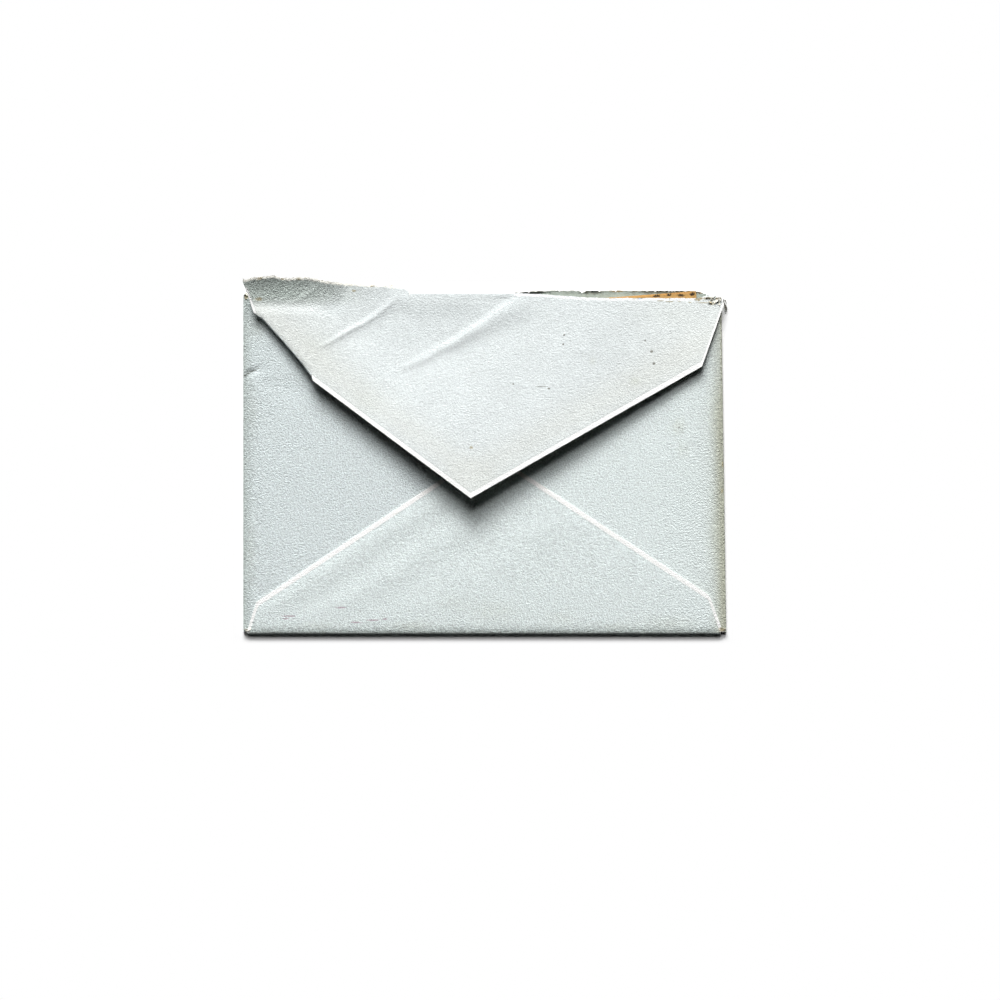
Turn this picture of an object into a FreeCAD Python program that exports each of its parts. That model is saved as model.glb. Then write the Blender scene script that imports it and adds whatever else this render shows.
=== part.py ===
import FreeCAD, Part
import math
import os

Vector = FreeCAD.Vector

# The envelope lies with its address side down and its flaps up. The origin is the centre of the
# address side's lower face, X runs along the width, Y runs towards the torn top edge, Z is up.

# Body
WIDTH = 130.2               # across the two side folds at mid height, five and one eighth inches
HEIGHT = 92.1               # from the bottom fold to the top fold, three and five eighths inches
PAPER = 0.14                # thickness of the sheet
SIDE_FOLD = 0.9             # outer height of the side folds
RIGHT_LEAN = 1.35           # the foot of the right fold stands this much further out than its head
FOLD_STOP = 0.6             # the side folds end this short of the corners
GLUE_BITE = 0.02            # the glued bottom flap is pressed this far into the side flaps
SWELL = 0.75                # how far the pocket swells above its folds
SWELL_MARGIN = 6.5          # width of the rounded margin beside each fold

# Side flaps, which meet near the middle under the two other flaps
SIDE_FOOT_IN = 1.5          # their cut edges leave the corners this far in from the side folds
SIDE_SHOULDER_IN = 10.0
SIDE_SHOULDER_DOWN = 3.4
SIDE_TIP_GAP = 7.0          # between the two tips
SIDE_TIP_DOWN = 2.0         # the tips lie this far below the middle
SIDE_TIP_RADIUS = 3.0

# Bottom flap, glued over the side flaps
BOTTOM_FOOT_IN = 1.0
BOTTOM_SHOULDER_IN = 3.7
BOTTOM_SHOULDER_UP = 7.9
BOTTOM_REACH = 49.6
BOTTOM_TIP_RADIUS = 1.5
SHOULDER_RADIUS = 1.0

# Top flap, seen from its fold
TOP_FOLD = 1.3              # outer height of what is left of the top fold
FLAP_SLOPE = 0.086          # rise of the sprung flap for each millimetre away from the fold
FLAP_REACH = 55.3           # from the fold to the tip
FLAP_TIP_LEFT = 3.5         # the tip stands this much left of the middle
FLAP_TIP_RADIUS = 0.7
FLAP_SHOULDER_IN = 5.9
FLAP_SHOULDER_DOWN = 19.8
FLAP_CORNER_IN = 0.4
FLAP_CORNER_DOWN = 1.6

# The tears along the top fold
FOLD_LEFT = 45.3            # from the left fold to the start of the whole stretch of the top fold
FOLD_WHOLE = 27.9           # length of that stretch
CORNER_WHOLE = 3.0          # length of fold that still holds at the right corner
CORNER_FREE = 0.3           # from there to the right fold's inner line; the slit is the rest
SLIT_BACK = 1.3             # the flap's torn edge stands this far back from the top fold
LIP_RADIUS = 1.35           # curl of the address side's torn edge, measured inside
LIP_TURN = 60.0             # degrees that the curl turns
STRIP_WIDE = 3.9            # width of the strip torn off with the flap, at its left end
STRIP_NARROW = 1.8          # width of that strip where it ends beside the whole fold
STRIP_STEP = 19.0           # length of the wide end of the strip
STRIP_DROP = 0.9            # the strip narrows by this much where its wide end stops
STRIP_DROP_RUN = 4.0        # over this length
STRIP_TAPER = 2.0           # length of its last taper, beside the whole fold
TEAR_GAP = 0.35             # width of the nick at each end of a tear
TEAR_STEP = 1.3             # distance between the points of a torn edge
TEAR_ROUGH = 0.22           # how far a torn edge wanders
TEAR_WAVE = 5.7             # length of its slowest wave
NOTCH_AT = 18.6             # a deeper nick in the address side's torn edge, from the slit's left end
NOTCH_DEEP = 0.6
NOTCH_HALF = 0.9            # half the width of that nick
LIP_LOW_LEFT = 0.6          # the rim of the lip is lower by this much at the slit's left end
LIP_RUN_LEFT = 7.0          # and rises over this length
LIP_LOW_RIGHT = 0.7         # the same at its right end
LIP_RUN_RIGHT = 3.0
HORN_WIDTH = 3.0            # width of the torn horn left standing at the head of the left fold
STEEP_OUT = 0.2             # the flap's upper left corner stands this far outside the left fold

# Relief of the top flap
CURL_RISE = 2.4             # the torn strip curls up by this much at its left end
CURL_START = 2.6            # the curl starts this far down from the top fold
CORNER_LIFT = 1.1           # the torn-free left corner of the flap stands up by this much more
LIFT_LENGTH = 42.0          # the lift would end this far along the slanting fold
LIFT_EASE = 0.75            # share of that length after which it eases out
LIFT_WIDTH = 34.0           # the lift ends this far inside the slanting fold
LIFT_FADE = 14.0            # and fades over this width before the whole stretch of fold
LEVEL_PAST = 6.0            # the flap stays even this far past the ends of a whole stretch
SLIT_BOW = 0.9              # the flap bows up by this much over the slit
BOW_RUN = 21.0              # the bow rises and falls over this length
BOW_REACH = 34.0            # the bow fades out this far from the fold
RIDGE_PAST = 3.0            # the ridge starts this far right of the whole stretch of fold
RIDGE_TURN = 32.0           # degrees between a ridge and the top fold
RIDGE_HEIGHT = 0.45
RIDGE_HALF = 3.0            # half the width of the broad ridge
RIDGE_LENGTH = 38.0
CREASE_HEIGHT = 0.3
CREASE_HALF = 2.2           # half the width of the narrow ridge
CREASE_LENGTH = 27.0
RIDGE_CLEAR = 3.0           # both ridges stay this far clear of the fold
RIDGE_EASE = 6.0            # and rise over this length
RIDGE_TAIL = 0.3            # share of their length over which they fade out

# The left corner of the top flap, turned under along a slanting fold
STEEP_IN = 2.7              # where that fold starts, from the left fold
STEEP_DOWN = 5.4            # and from the top fold
TURNED_IN = 18.4            # where it ends, from the left fold
TURNED_DOWN = 23.0          # and from the top fold
TURNED_FOLD = 0.75          # outer height of that fold
TURNED_INSET = 0.02         # the fold's wall is thinner than the sheet by this much on each face
TURNED_TAIL = 0.4           # how far its wall runs on inside the sheet
TURNED_REACH = 6.6          # width of the corner that is turned under
TURNED_APEX = 0.36          # share of the fold's length at which that corner's point lies

# A torn scrap of the right fold that stands out beside its head
SCRAP_LENGTH = 4.0
SCRAP_OUT = 1.5
SCRAP_WIDTH = 0.75
SCRAP_BELOW = 5.2           # its root, from the top fold

# Letter, folded once along its lower edge
LETTER_SIDE_ROOM = 18.2     # the envelope is this much wider than the letter
LETTER_FOOT_ROOM = 14.1     # and this much higher
LETTER_PAPER = 0.12
LETTER_FOLD = 0.32          # outer height of its fold
LETTER_GAP = 0.02           # clearance between the letter and the address side
LETTER_TURN = 4.3           # degrees that it lies askew
LETTER_FROM_SLIT = 3.1      # its upper right corner, from the right end of the slit
LETTER_LIP_GAP = 0.07       # clearance between that corner and the curled lip
LETTER_BEND = 4.1           # length of its upper margin that bends up
LETTER_RISE = 0.68          # how far that margin rises at the corner
LEAF_STEP = 0.8             # the upper leaf is shorter than the lower leaf by this much

# Spacing of the points that carry the curved sheets, and how far a cut reaches past a sheet
FLAP_SPAN = 2.2
BODY_FINE = 1.7
BODY_COARSE = 9.0
CUT_PAST = 3.0
CUT_TOP = 25.0

SIDE_RADIUS = SIDE_FOLD / 2
BOTTOM_FOLD = SIDE_FOLD + PAPER - GLUE_BITE
BOTTOM_RADIUS = BOTTOM_FOLD / 2
TOP_RADIUS = TOP_FOLD / 2
LEFT_LINE = SIDE_RADIUS - WIDTH / 2
BOTTOM_LINE = BOTTOM_RADIUS - HEIGHT / 2
TOP_LINE = HEIGHT / 2 - TOP_RADIUS
TOP_EDGE = HEIGHT / 2
FOLD_START = FOLD_LEFT - WIDTH / 2
FOLD_END = FOLD_START + FOLD_WHOLE
HEAD = HEIGHT / 2 - FOLD_STOP
FOOT = FOLD_STOP - HEIGHT / 2
HOLD_END = WIDTH / 2 - SIDE_RADIUS - RIGHT_LEAN * HEAD / HEIGHT - CORNER_FREE
SLIT_END = HOLD_END - CORNER_WHOLE
LETTER_WIDTH = WIDTH - LETTER_SIDE_ROOM
LETTER_HEIGHT = HEIGHT - LETTER_FOOT_ROOM


def right_line(y):
    """X of the right fold's inner line, which leans."""
    return WIDTH / 2 - SIDE_RADIUS - RIGHT_LEAN * y / HEIGHT


def smooth(value, start, end):
    """Zero at start and one at end, with level ends between."""
    share = min(max((value - start) / (end - start), 0.0), 1.0)
    return share * share * (3 - 2 * share)


def ragged(place, rough):
    """Wander of a torn edge at a place along it, a sum of three waves."""
    turn = 2 * math.pi * place / TEAR_WAVE
    slow = 0.5 * math.sin(turn)
    middle = 0.3 * math.sin(2.45 * turn + 1.3)
    quick = 0.3 * math.sin(5.36 * turn + 0.4)
    return rough * (slow + middle + quick)


def steps(start, end, step):
    """Evenly spaced places from start to end, about one step apart."""
    count = max(1, round(abs(end - start) / step))
    return [start + (end - start) * index / count for index in range(count + 1)]


def outline(corners):
    """Closed wire through corners (x, y, radius), each rounded by its radius."""
    edges = []
    count = len(corners)
    starts = []
    ends = []
    arcs = []
    for index in range(count):
        before = corners[index - 1]
        x, y, radius = corners[index]
        after = corners[(index + 1) % count]
        corner = Vector(x, y, 0)
        back = Vector(before[0] - x, before[1] - y, 0).normalize()
        ahead = Vector(after[0] - x, after[1] - y, 0).normalize()
        if radius == 0:
            starts.append(corner)
            ends.append(corner)
            arcs.append(None)
            continue
        half = back.getAngle(ahead) / 2
        cut = radius / math.tan(half)
        inward = (back + ahead).normalize()
        centre = corner + inward * (radius / math.sin(half))
        starts.append(corner + back * cut)
        ends.append(corner + ahead * cut)
        arcs.append(centre - inward * radius)
    for index in range(count):
        if arcs[index] is not None:
            edges.append(Part.Arc(starts[index], arcs[index], ends[index]).toShape())
        following = starts[(index + 1) % count]
        edges.append(Part.LineSegment(ends[index], following).toShape())
    return Part.Wire(edges)


def prism(corners, low, high):
    """Upright prism over rounded corners, between two heights."""
    face = Part.Face(outline(corners))
    face.translate(Vector(0, 0, low))
    return face.extrude(Vector(0, 0, high - low))


def sharp(points):
    """Corners without rounding from points (x, y)."""
    return [(x, y, 0) for x, y in points]


def averages(knots):
    """Places of the poles over a knot row for which a straight line stays straight."""
    padded = [knots[0]] * 3 + knots + [knots[-1]] * 3
    return [sum(padded[index + 1:index + 4]) / 3 for index in range(len(knots) + 2)]


def sheet_surface(left, right, low, high, rows, height):
    """Curved sheet over left(y)..right(y) and low..high, at height(x, y). Its poles stand at the
    averages of three knots, so that straight and level stretches come out exact."""
    across, along = rows
    poles = []
    for share in averages(across):
        column = []
        for place in averages(along):
            y = low + place * (high - low)
            x = left(y) + share * (right(y) - left(y))
            column.append(Vector(x, y, height(x, y)))
        poles.append(column)
    surface = Part.BSplineSurface()
    ends_u = [4] + [1] * (len(across) - 2) + [4]
    ends_v = [4] + [1] * (len(along) - 2) + [4]
    surface.buildFromPolesMultsKnots(poles, ends_u, ends_v, across, along, False, False, 3, 3)
    return surface


def slab(surface, lift):
    """Sheet of paper thickness standing on a surface that is lifted."""
    face = surface.toShape()
    face.translate(Vector(0, 0, lift))
    return face.extrude(Vector(0, 0, PAPER))


def margin_knots(length):
    """Knot row from 0 to 1, close together in the rounded margins and wide between."""
    fine = steps(0, SWELL_MARGIN, BODY_FINE)
    wide = steps(SWELL_MARGIN, length - SWELL_MARGIN, BODY_COARSE)
    last = [length - place for place in reversed(fine)]
    return [place / length for place in fine + wide[1:-1] + last]


def even_knots(length):
    """Knot row from 0 to 1 with even spans."""
    return steps(0, 1, FLAP_SPAN / length)


def round_margin(distance):
    """Rise beside a fold: steep at the fold and level at the end of the margin."""
    share = min(max(distance / SWELL_MARGIN, 0.0), 1.0)
    return 1 - (1 - share) ** 2


def back_height(x, y):
    """Height of the side flaps' lower face, swollen between the four folds."""
    sides = round_margin(x - LEFT_LINE) * round_margin(right_line(y) - x)
    ends = round_margin(y - BOTTOM_LINE) * round_margin(TOP_LINE - y)
    return SIDE_FOLD - PAPER + SWELL * sides * ends


def turned_line():
    """The two ends of the slanting fold at the flap's left corner."""
    start = Vector(STEEP_IN - WIDTH / 2, TOP_EDGE - STEEP_DOWN, 0)
    end = Vector(TURNED_IN - WIDTH / 2, TOP_EDGE - TURNED_DOWN, 0)
    return start, end


def corner_lift(x, y):
    """Share of the left corner's lift: it falls evenly along the slanting fold, so that the fold
    stays straight, eases out beyond the fold's end, and fades away into the flap."""
    start, end = turned_line()
    along = (end - start).normalize()
    run = (x - start.x) * along.x + (y - start.y) * along.y
    inside = (y - start.y) * along.x - (x - start.x) * along.y
    share = run / LIFT_LENGTH
    fall = 1 - share
    if share > LIFT_EASE:
        rest = min((share - LIFT_EASE) / (1 - LIFT_EASE) / 2, 1.0)
        fall = (1 - LIFT_EASE) * (1 - rest) ** 2
    return fall * (1 - smooth(inside, TURNED_REACH, LIFT_WIDTH))


def ridge(x, y, start, length, half):
    """Share of a ridge that runs down and left from the top fold at start: round across its
    width, and fading out along its length."""
    angle = math.radians(RIDGE_TURN)
    across = (x - start) * math.sin(angle) + (TOP_LINE - y) * math.cos(angle)
    along = (start - x) * math.cos(angle) + (TOP_LINE - y) * math.sin(angle)
    crest = math.exp(-(across / half) ** 2)
    rise = smooth(along, RIDGE_CLEAR, RIDGE_CLEAR + RIDGE_EASE)
    return crest * rise * (1 - smooth(along, (1 - RIDGE_TAIL) * length, length))


def flap_height(x, y):
    """Height of the top flap's lower face: it rises away from the fold, its left corner stands
    up, the torn strip curls, the slit bows it, and two ridges run down from the fold's ends."""
    reach = TOP_LINE - y
    level = FOLD_START - LEVEL_PAST
    height = TOP_FOLD - PAPER + FLAP_SLOPE * reach
    height += CORNER_LIFT * corner_lift(x, y) * (1 - smooth(x, level - LIFT_FADE, level))
    curl = max(0.0, CURL_START - reach) / (CURL_START + STRIP_WIDE)
    height += CURL_RISE * curl ** 1.5 * (1 - smooth(x, LEFT_LINE, level))
    rising = smooth(x, FOLD_END + LEVEL_PAST, FOLD_END + LEVEL_PAST + BOW_RUN)
    falling = smooth(x, SLIT_END - LEVEL_PAST - BOW_RUN, SLIT_END - LEVEL_PAST)
    height += SLIT_BOW * rising * (1 - falling) * (1 - smooth(reach, 0, BOW_REACH))
    height += RIDGE_HEIGHT * ridge(x, y, FOLD_END + RIDGE_PAST, RIDGE_LENGTH, RIDGE_HALF)
    height += CREASE_HEIGHT * ridge(x, y, FOLD_START, CREASE_LENGTH, CREASE_HALF)
    return height


def half_ring(start, end, outward, height, wall, up=Vector(0, 0, 1), tail=0):
    """Straight fold between two points of its inner line, at its lower face: a half ring of this
    outer height that bulges outward. Its two walls may run on inward as tails."""
    radius = height / 2
    inside = radius - wall

    def point(out, rise):
        return start + outward * out + up * rise

    def line(first, second):
        return Part.LineSegment(point(*first), point(*second)).toShape()

    outer = Part.Arc(point(0, 0), point(radius, radius), point(0, height)).toShape()
    inner = Part.Arc(point(0, height - wall), point(inside, radius), point(0, wall)).toShape()
    if tail == 0:
        edges = [outer, line((0, height), (0, height - wall)), inner, line((0, wall), (0, 0))]
    else:
        edges = [
            outer,
            line((0, height), (-tail, height)),
            line((-tail, height), (-tail, height - wall)),
            line((-tail, height - wall), (0, height - wall)),
            inner,
            line((0, wall), (-tail, wall)),
            line((-tail, wall), (-tail, 0)),
            line((-tail, 0), (0, 0)),
        ]
    return Part.Face(Part.Wire(edges)).extrude(end - start)


def side_folds():
    """The two straight folds at the sides, the right one leaning."""
    left_foot = Vector(LEFT_LINE, FOOT, 0)
    left_head = Vector(LEFT_LINE, HEAD, 0)
    right_foot = Vector(right_line(FOOT), FOOT, 0)
    right_head = Vector(right_line(HEAD), HEAD, 0)
    lean = (right_head - right_foot).normalize()
    left = half_ring(left_foot, left_head, Vector(-1, 0, 0), SIDE_FOLD, PAPER)
    right = half_ring(right_foot, right_head, Vector(lean.y, -lean.x, 0), SIDE_FOLD, PAPER)
    return [left, right]


def bottom_fold(left, right):
    """The straight fold at the bottom, between two places along X."""
    start = Vector(left, BOTTOM_LINE, 0)
    return half_ring(start, Vector(right, BOTTOM_LINE, 0), Vector(0, -1, 0), BOTTOM_FOLD, PAPER)


def top_fold(left, right):
    """A whole stretch of the top fold, between two places along X."""
    start = Vector(left, TOP_LINE, 0)
    return half_ring(start, Vector(right, TOP_LINE, 0), Vector(0, 1, 0), TOP_FOLD, PAPER)


def strip_edge(x):
    """Width of the torn strip at x, past the top fold."""
    narrow_at = FOLD_START - STRIP_TAPER
    wide_at = LEFT_LINE + STRIP_STEP
    share = min(max((x - wide_at) / (narrow_at - wide_at), 0.0), 1.0)
    width = STRIP_WIDE - STRIP_DROP * smooth(x, wide_at, wide_at + STRIP_DROP_RUN)
    width -= (STRIP_WIDE - STRIP_DROP - STRIP_NARROW) * share
    return width + ragged(x, TEAR_ROUGH)


def lip_edge(x):
    """Y of the address side's torn edge at x, along the slit."""
    out = (LIP_RADIUS + PAPER) * math.sin(math.radians(LIP_TURN))
    nick = NOTCH_DEEP * max(0.0, 1 - abs(x - FOLD_END - NOTCH_AT) / NOTCH_HALF)
    left = LIP_LOW_LEFT * (1 - smooth(x, FOLD_END, FOLD_END + LIP_RUN_LEFT))
    right = LIP_LOW_RIGHT * smooth(x, SLIT_END - LIP_RUN_RIGHT, SLIT_END)
    return TOP_LINE + out - nick - left - right - abs(ragged(x, TEAR_ROUGH)) / 2


def address_side():
    """The flat address side, with the edge that the torn-off strip has left."""
    points = [
        (BOTTOM_FOOT_IN - WIDTH / 2, BOTTOM_LINE),
        (right_line(BOTTOM_LINE) + SIDE_RADIUS - BOTTOM_FOOT_IN, BOTTOM_LINE),
        (right_line(FOOT), FOOT),
        (right_line(HEAD), HEAD),
        (HOLD_END, TOP_LINE),
        (FOLD_START, TOP_LINE),
    ]
    for x in steps(FOLD_START - TEAR_GAP, LEFT_LINE + HORN_WIDTH, TEAR_STEP):
        points.append((x, TOP_EDGE - strip_edge(x)))
    points += [(LEFT_LINE, HEAD), (LEFT_LINE, FOOT)]
    return prism(sharp(points), 0, PAPER)


def torn_lip():
    """The curled edge of the address side along the slit, cut ragged along its rim."""
    turn = math.radians(LIP_TURN)
    middle = turn / 2
    left = FOLD_END + TEAR_GAP
    right = SLIT_END - TEAR_GAP
    centre = PAPER + LIP_RADIUS

    def point(radius, angle):
        return Vector(left, TOP_LINE + radius * math.sin(angle), centre - radius * math.cos(angle))

    outside = LIP_RADIUS + PAPER
    outer = Part.Arc(point(outside, 0), point(outside, middle), point(outside, turn)).toShape()
    rim = Part.LineSegment(point(outside, turn), point(LIP_RADIUS, turn)).toShape()
    inner = Part.Arc(point(LIP_RADIUS, turn), point(LIP_RADIUS, middle), point(LIP_RADIUS, 0))
    root = Part.LineSegment(point(LIP_RADIUS, 0), point(outside, 0)).toShape()
    face = Part.Face(Part.Wire([outer, rim, inner.toShape(), root]))
    curl = face.extrude(Vector(right - left, 0, 0))
    points = [(right, TOP_LINE - CUT_PAST)]
    for x in steps(right, left, TEAR_STEP):
        points.append((x, lip_edge(x)))
    points.append((left, TOP_LINE - CUT_PAST))
    return curl.common(prism(sharp(points), -CUT_PAST, CUT_TOP))


def side_flaps(surface):
    """The two side flaps, cut from one swollen sheet."""
    sheet = slab(surface, 0)
    flaps = []
    for side in (-1, 1):
        fold = side * WIDTH / 2
        shoulder = fold - side * SIDE_SHOULDER_IN
        tip = side * SIDE_TIP_GAP / 2
        corners = [
            (fold + side * CUT_PAST, FOOT, 0),
            (fold - side * SIDE_FOOT_IN, FOOT, 0),
            (shoulder, FOOT + SIDE_SHOULDER_DOWN, SHOULDER_RADIUS),
            (tip, -SIDE_TIP_DOWN, SIDE_TIP_RADIUS),
            (shoulder, HEAD - SIDE_SHOULDER_DOWN, SHOULDER_RADIUS),
            (fold - side * SIDE_FOOT_IN, HEAD, 0),
            (fold + side * CUT_PAST, HEAD, 0),
        ]
        flaps.append(sheet.common(prism(corners, -CUT_PAST, CUT_TOP)))
    return flaps


def bottom_flap(surface):
    """The bottom flap with its fold, pressed onto the side flaps."""
    left = BOTTOM_FOOT_IN - WIDTH / 2
    right = right_line(BOTTOM_LINE) + SIDE_RADIUS - BOTTOM_FOOT_IN
    level = BOTTOM_SHOULDER_UP - HEIGHT / 2
    right_shoulder = right_line(level) + SIDE_RADIUS - BOTTOM_SHOULDER_IN
    corners = [
        (left, BOTTOM_LINE - CUT_PAST, 0),
        (left, BOTTOM_LINE, 0),
        (BOTTOM_SHOULDER_IN - WIDTH / 2, level, SHOULDER_RADIUS),
        (0, BOTTOM_REACH - HEIGHT / 2, BOTTOM_TIP_RADIUS),
        (right_shoulder, level, SHOULDER_RADIUS),
        (right, BOTTOM_LINE, 0),
        (right, BOTTOM_LINE - CUT_PAST, 0),
    ]
    sheet = slab(surface, PAPER - GLUE_BITE)
    flap = sheet.common(prism(corners, -CUT_PAST, CUT_TOP))
    return [flap, bottom_fold(left, right)]


def top_flap(surface):
    """The top flap with its torn edges and the two stretches of fold that still hold it."""
    strip_left = -WIDTH / 2 - STEEP_OUT
    turn_start, turn_end = turned_line()
    corners = [
        (strip_left, TOP_EDGE + strip_edge(strip_left), 0),
        (turn_start.x, turn_start.y, 0),
        (turn_end.x, turn_end.y, 0),
        (-FLAP_TIP_LEFT, TOP_EDGE - FLAP_REACH, FLAP_TIP_RADIUS),
        (WIDTH / 2 - FLAP_SHOULDER_IN, TOP_EDGE - FLAP_SHOULDER_DOWN, SHOULDER_RADIUS),
        (WIDTH / 2 - FLAP_CORNER_IN, TOP_EDGE - FLAP_CORNER_DOWN, 0),
        (HOLD_END, TOP_LINE, 0),
        (SLIT_END, TOP_LINE, 0),
    ]
    for x in steps(SLIT_END - TEAR_GAP, FOLD_END + TEAR_GAP, TEAR_STEP):
        corners.append((x, TOP_EDGE - SLIT_BACK + ragged(x, TEAR_ROUGH) / 2, 0))
    corners.append((FOLD_END, TOP_LINE, 0))
    corners.append((FOLD_START, TOP_LINE, 0))
    corners.append((FOLD_START - TEAR_GAP, TOP_LINE - TEAR_GAP, 0))
    for x in steps(FOLD_START - 2 * TEAR_GAP, strip_left + TEAR_STEP, TEAR_STEP):
        torn = TOP_EDGE + strip_edge(x) * smooth(x, FOLD_START, FOLD_START - STRIP_TAPER)
        corners.append((x, torn, 0))
    flap = slab(surface, 0).common(prism(corners, -CUT_PAST, CUT_TOP))
    return [flap, top_fold(FOLD_START, FOLD_END), top_fold(SLIT_END, HOLD_END)]


def turned_corner(surface):
    """The corner turned under: a straight fold whose tails lie inside the flap and the tab, and
    the tab below, which runs parallel to the flap."""
    start, end = turned_line()
    along = (end - start).normalize()
    inward = Vector(-along.y, along.x, 0)
    drop = TURNED_FOLD - PAPER
    first = start + along * TURNED_INSET
    last = end - along * TURNED_INSET
    across = first + inward
    first.z = flap_height(first.x, first.y)
    last.z = flap_height(last.x, last.y)
    across.z = flap_height(across.x, across.y)
    run = (last - first).normalize()
    up = run.cross(across - first).normalize()
    outward = run.cross(up)
    shift = Vector(0, 0, TURNED_INSET - drop)
    height = TURNED_FOLD - 2 * TURNED_INSET
    wall = PAPER - 2 * TURNED_INSET
    fold = half_ring(first + shift, last + shift, outward, height, wall, up, TURNED_TAIL)
    apex = start + along * (TURNED_APEX * (end - start).Length) + inward * TURNED_REACH
    corners = [(start.x, start.y, 0), (end.x, end.y, 0), (apex.x, apex.y, SHOULDER_RADIUS)]
    tab = slab(surface, -drop).common(prism(corners, -CUT_PAST, CUT_TOP))
    return [fold, tab]


def fold_scrap():
    """A torn scrap of the right fold, standing out beside the fold's head."""
    low = TOP_EDGE - SCRAP_BELOW
    root = right_line(low) + SIDE_RADIUS - PAPER / 2
    points = [
        (root, low),
        (root + 0.6 * SCRAP_OUT, low + 0.3 * SCRAP_LENGTH),
        (root + SCRAP_OUT, low + 0.8 * SCRAP_LENGTH),
        (root + SCRAP_OUT - 0.4 * SCRAP_WIDTH, low + SCRAP_LENGTH),
        (root + SCRAP_OUT - SCRAP_WIDTH, low + 0.85 * SCRAP_LENGTH),
        (root + 0.55 * SCRAP_OUT - SCRAP_WIDTH / 3, low + 0.55 * SCRAP_LENGTH),
        (root, low + SCRAP_WIDTH),
    ]
    level = SIDE_RADIUS - PAPER / 2
    return prism(sharp(points), level, level + PAPER)


def envelope():
    """The whole folded sheet as one solid."""
    rows = (margin_knots(WIDTH), margin_knots(HEIGHT))
    back = sheet_surface(lambda y: LEFT_LINE, right_line, BOTTOM_LINE, TOP_LINE, rows, back_height)
    left = -WIDTH / 2 - CUT_PAST
    right = WIDTH / 2 + CUT_PAST
    flap_low = TOP_EDGE - FLAP_REACH - CUT_PAST
    flap_high = TOP_EDGE + STRIP_WIDE + CUT_PAST
    rows = (even_knots(right - left), even_knots(flap_high - flap_low))
    flap = sheet_surface(lambda y: left, lambda y: right, flap_low, flap_high, rows, flap_height)
    pieces = side_folds() + side_flaps(back) + bottom_flap(back)
    pieces += top_flap(flap) + turned_corner(flap)
    pieces += [torn_lip(), fold_scrap()]
    sheet = address_side()
    for piece in pieces:
        sheet = sheet.fuse(piece)
    return sheet


def letter_leaf(lift, width, height):
    """One leaf of the letter: flat, with an upper margin that bends up, cut to a turned
    rectangle whose upper right corner stands inside the lip."""
    corner = letter_corner()
    bend_at = corner.y - LETTER_BEND
    radius = (LETTER_BEND ** 2 + LETTER_RISE ** 2) / (2 * LETTER_RISE)
    low = bend_at - 2 * LETTER_HEIGHT
    side = corner.x - 2 * LETTER_WIDTH
    top = LETTER_PAPER

    def bent(y, up):
        rise = radius - math.sqrt(radius ** 2 - max(0.0, y - bend_at) ** 2)
        return Vector(side, y, lift + rise + up)

    half = bend_at + LETTER_BEND / 2
    end = corner.y + LETTER_RISE
    edges = [
        Part.LineSegment(bent(low, 0), bent(bend_at, 0)).toShape(),
        Part.Arc(bent(bend_at, 0), bent(half, 0), bent(end, 0)).toShape(),
        Part.LineSegment(bent(end, 0), bent(end, top)).toShape(),
        Part.Arc(bent(end, top), bent(half, top), bent(bend_at, top)).toShape(),
        Part.LineSegment(bent(bend_at, top), bent(low, top)).toShape(),
        Part.LineSegment(bent(low, top), bent(low, 0)).toShape(),
    ]
    sheet = Part.Face(Part.Wire(edges)).extrude(Vector(4 * LETTER_WIDTH, 0, 0))
    foot = Vector(-LETTER_WIDTH, -LETTER_HEIGHT, -CUT_PAST)
    cutter = Part.makeBox(width, height, CUT_TOP, foot)
    return sheet.common(turned(cutter))


def letter_corner():
    """Upper right corner of the letter."""
    rim = LIP_RADIUS * math.sin(math.radians(LIP_TURN))
    return Vector(SLIT_END - LETTER_FROM_SLIT, TOP_LINE + rim - LETTER_LIP_GAP, 0)


def turned(shape):
    """The shape, drawn about its upper right corner at the origin, turned into its place."""
    shape.rotate(Vector(0, 0, 0), Vector(0, 0, 1), LETTER_TURN)
    shape.translate(letter_corner())
    return shape


def letter():
    """A sheet folded once along its lower edge, lying askew in the pocket."""
    base = PAPER + LETTER_GAP
    lower = letter_leaf(base, LETTER_WIDTH, LETTER_HEIGHT)
    upper_base = base + LETTER_FOLD - LETTER_PAPER
    upper = letter_leaf(upper_base, LETTER_WIDTH - LEAF_STEP, LETTER_HEIGHT - LEAF_STEP / 2)
    start = Vector(-LETTER_WIDTH, -LETTER_HEIGHT, base)
    end = Vector(-LEAF_STEP, -LETTER_HEIGHT, base)
    fold = half_ring(start, end, Vector(0, -1, 0), LETTER_FOLD, LETTER_PAPER)
    return lower.fuse([upper, turned(fold)])


def save(shape, name):
    """Write one sub-part and say whether it is one sound solid."""
    shape = shape.removeSplitter()
    print(name, "solids", len(shape.Solids), "valid", shape.isValid(), "faces", len(shape.Faces))
    if len(shape.Solids) == 1:
        shape = shape.Solids[0]
    shape.exportStep("parts/" + name + ".step")


os.makedirs("parts", exist_ok=True)
save(envelope(), "envelope")
save(letter(), "letter")
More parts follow.
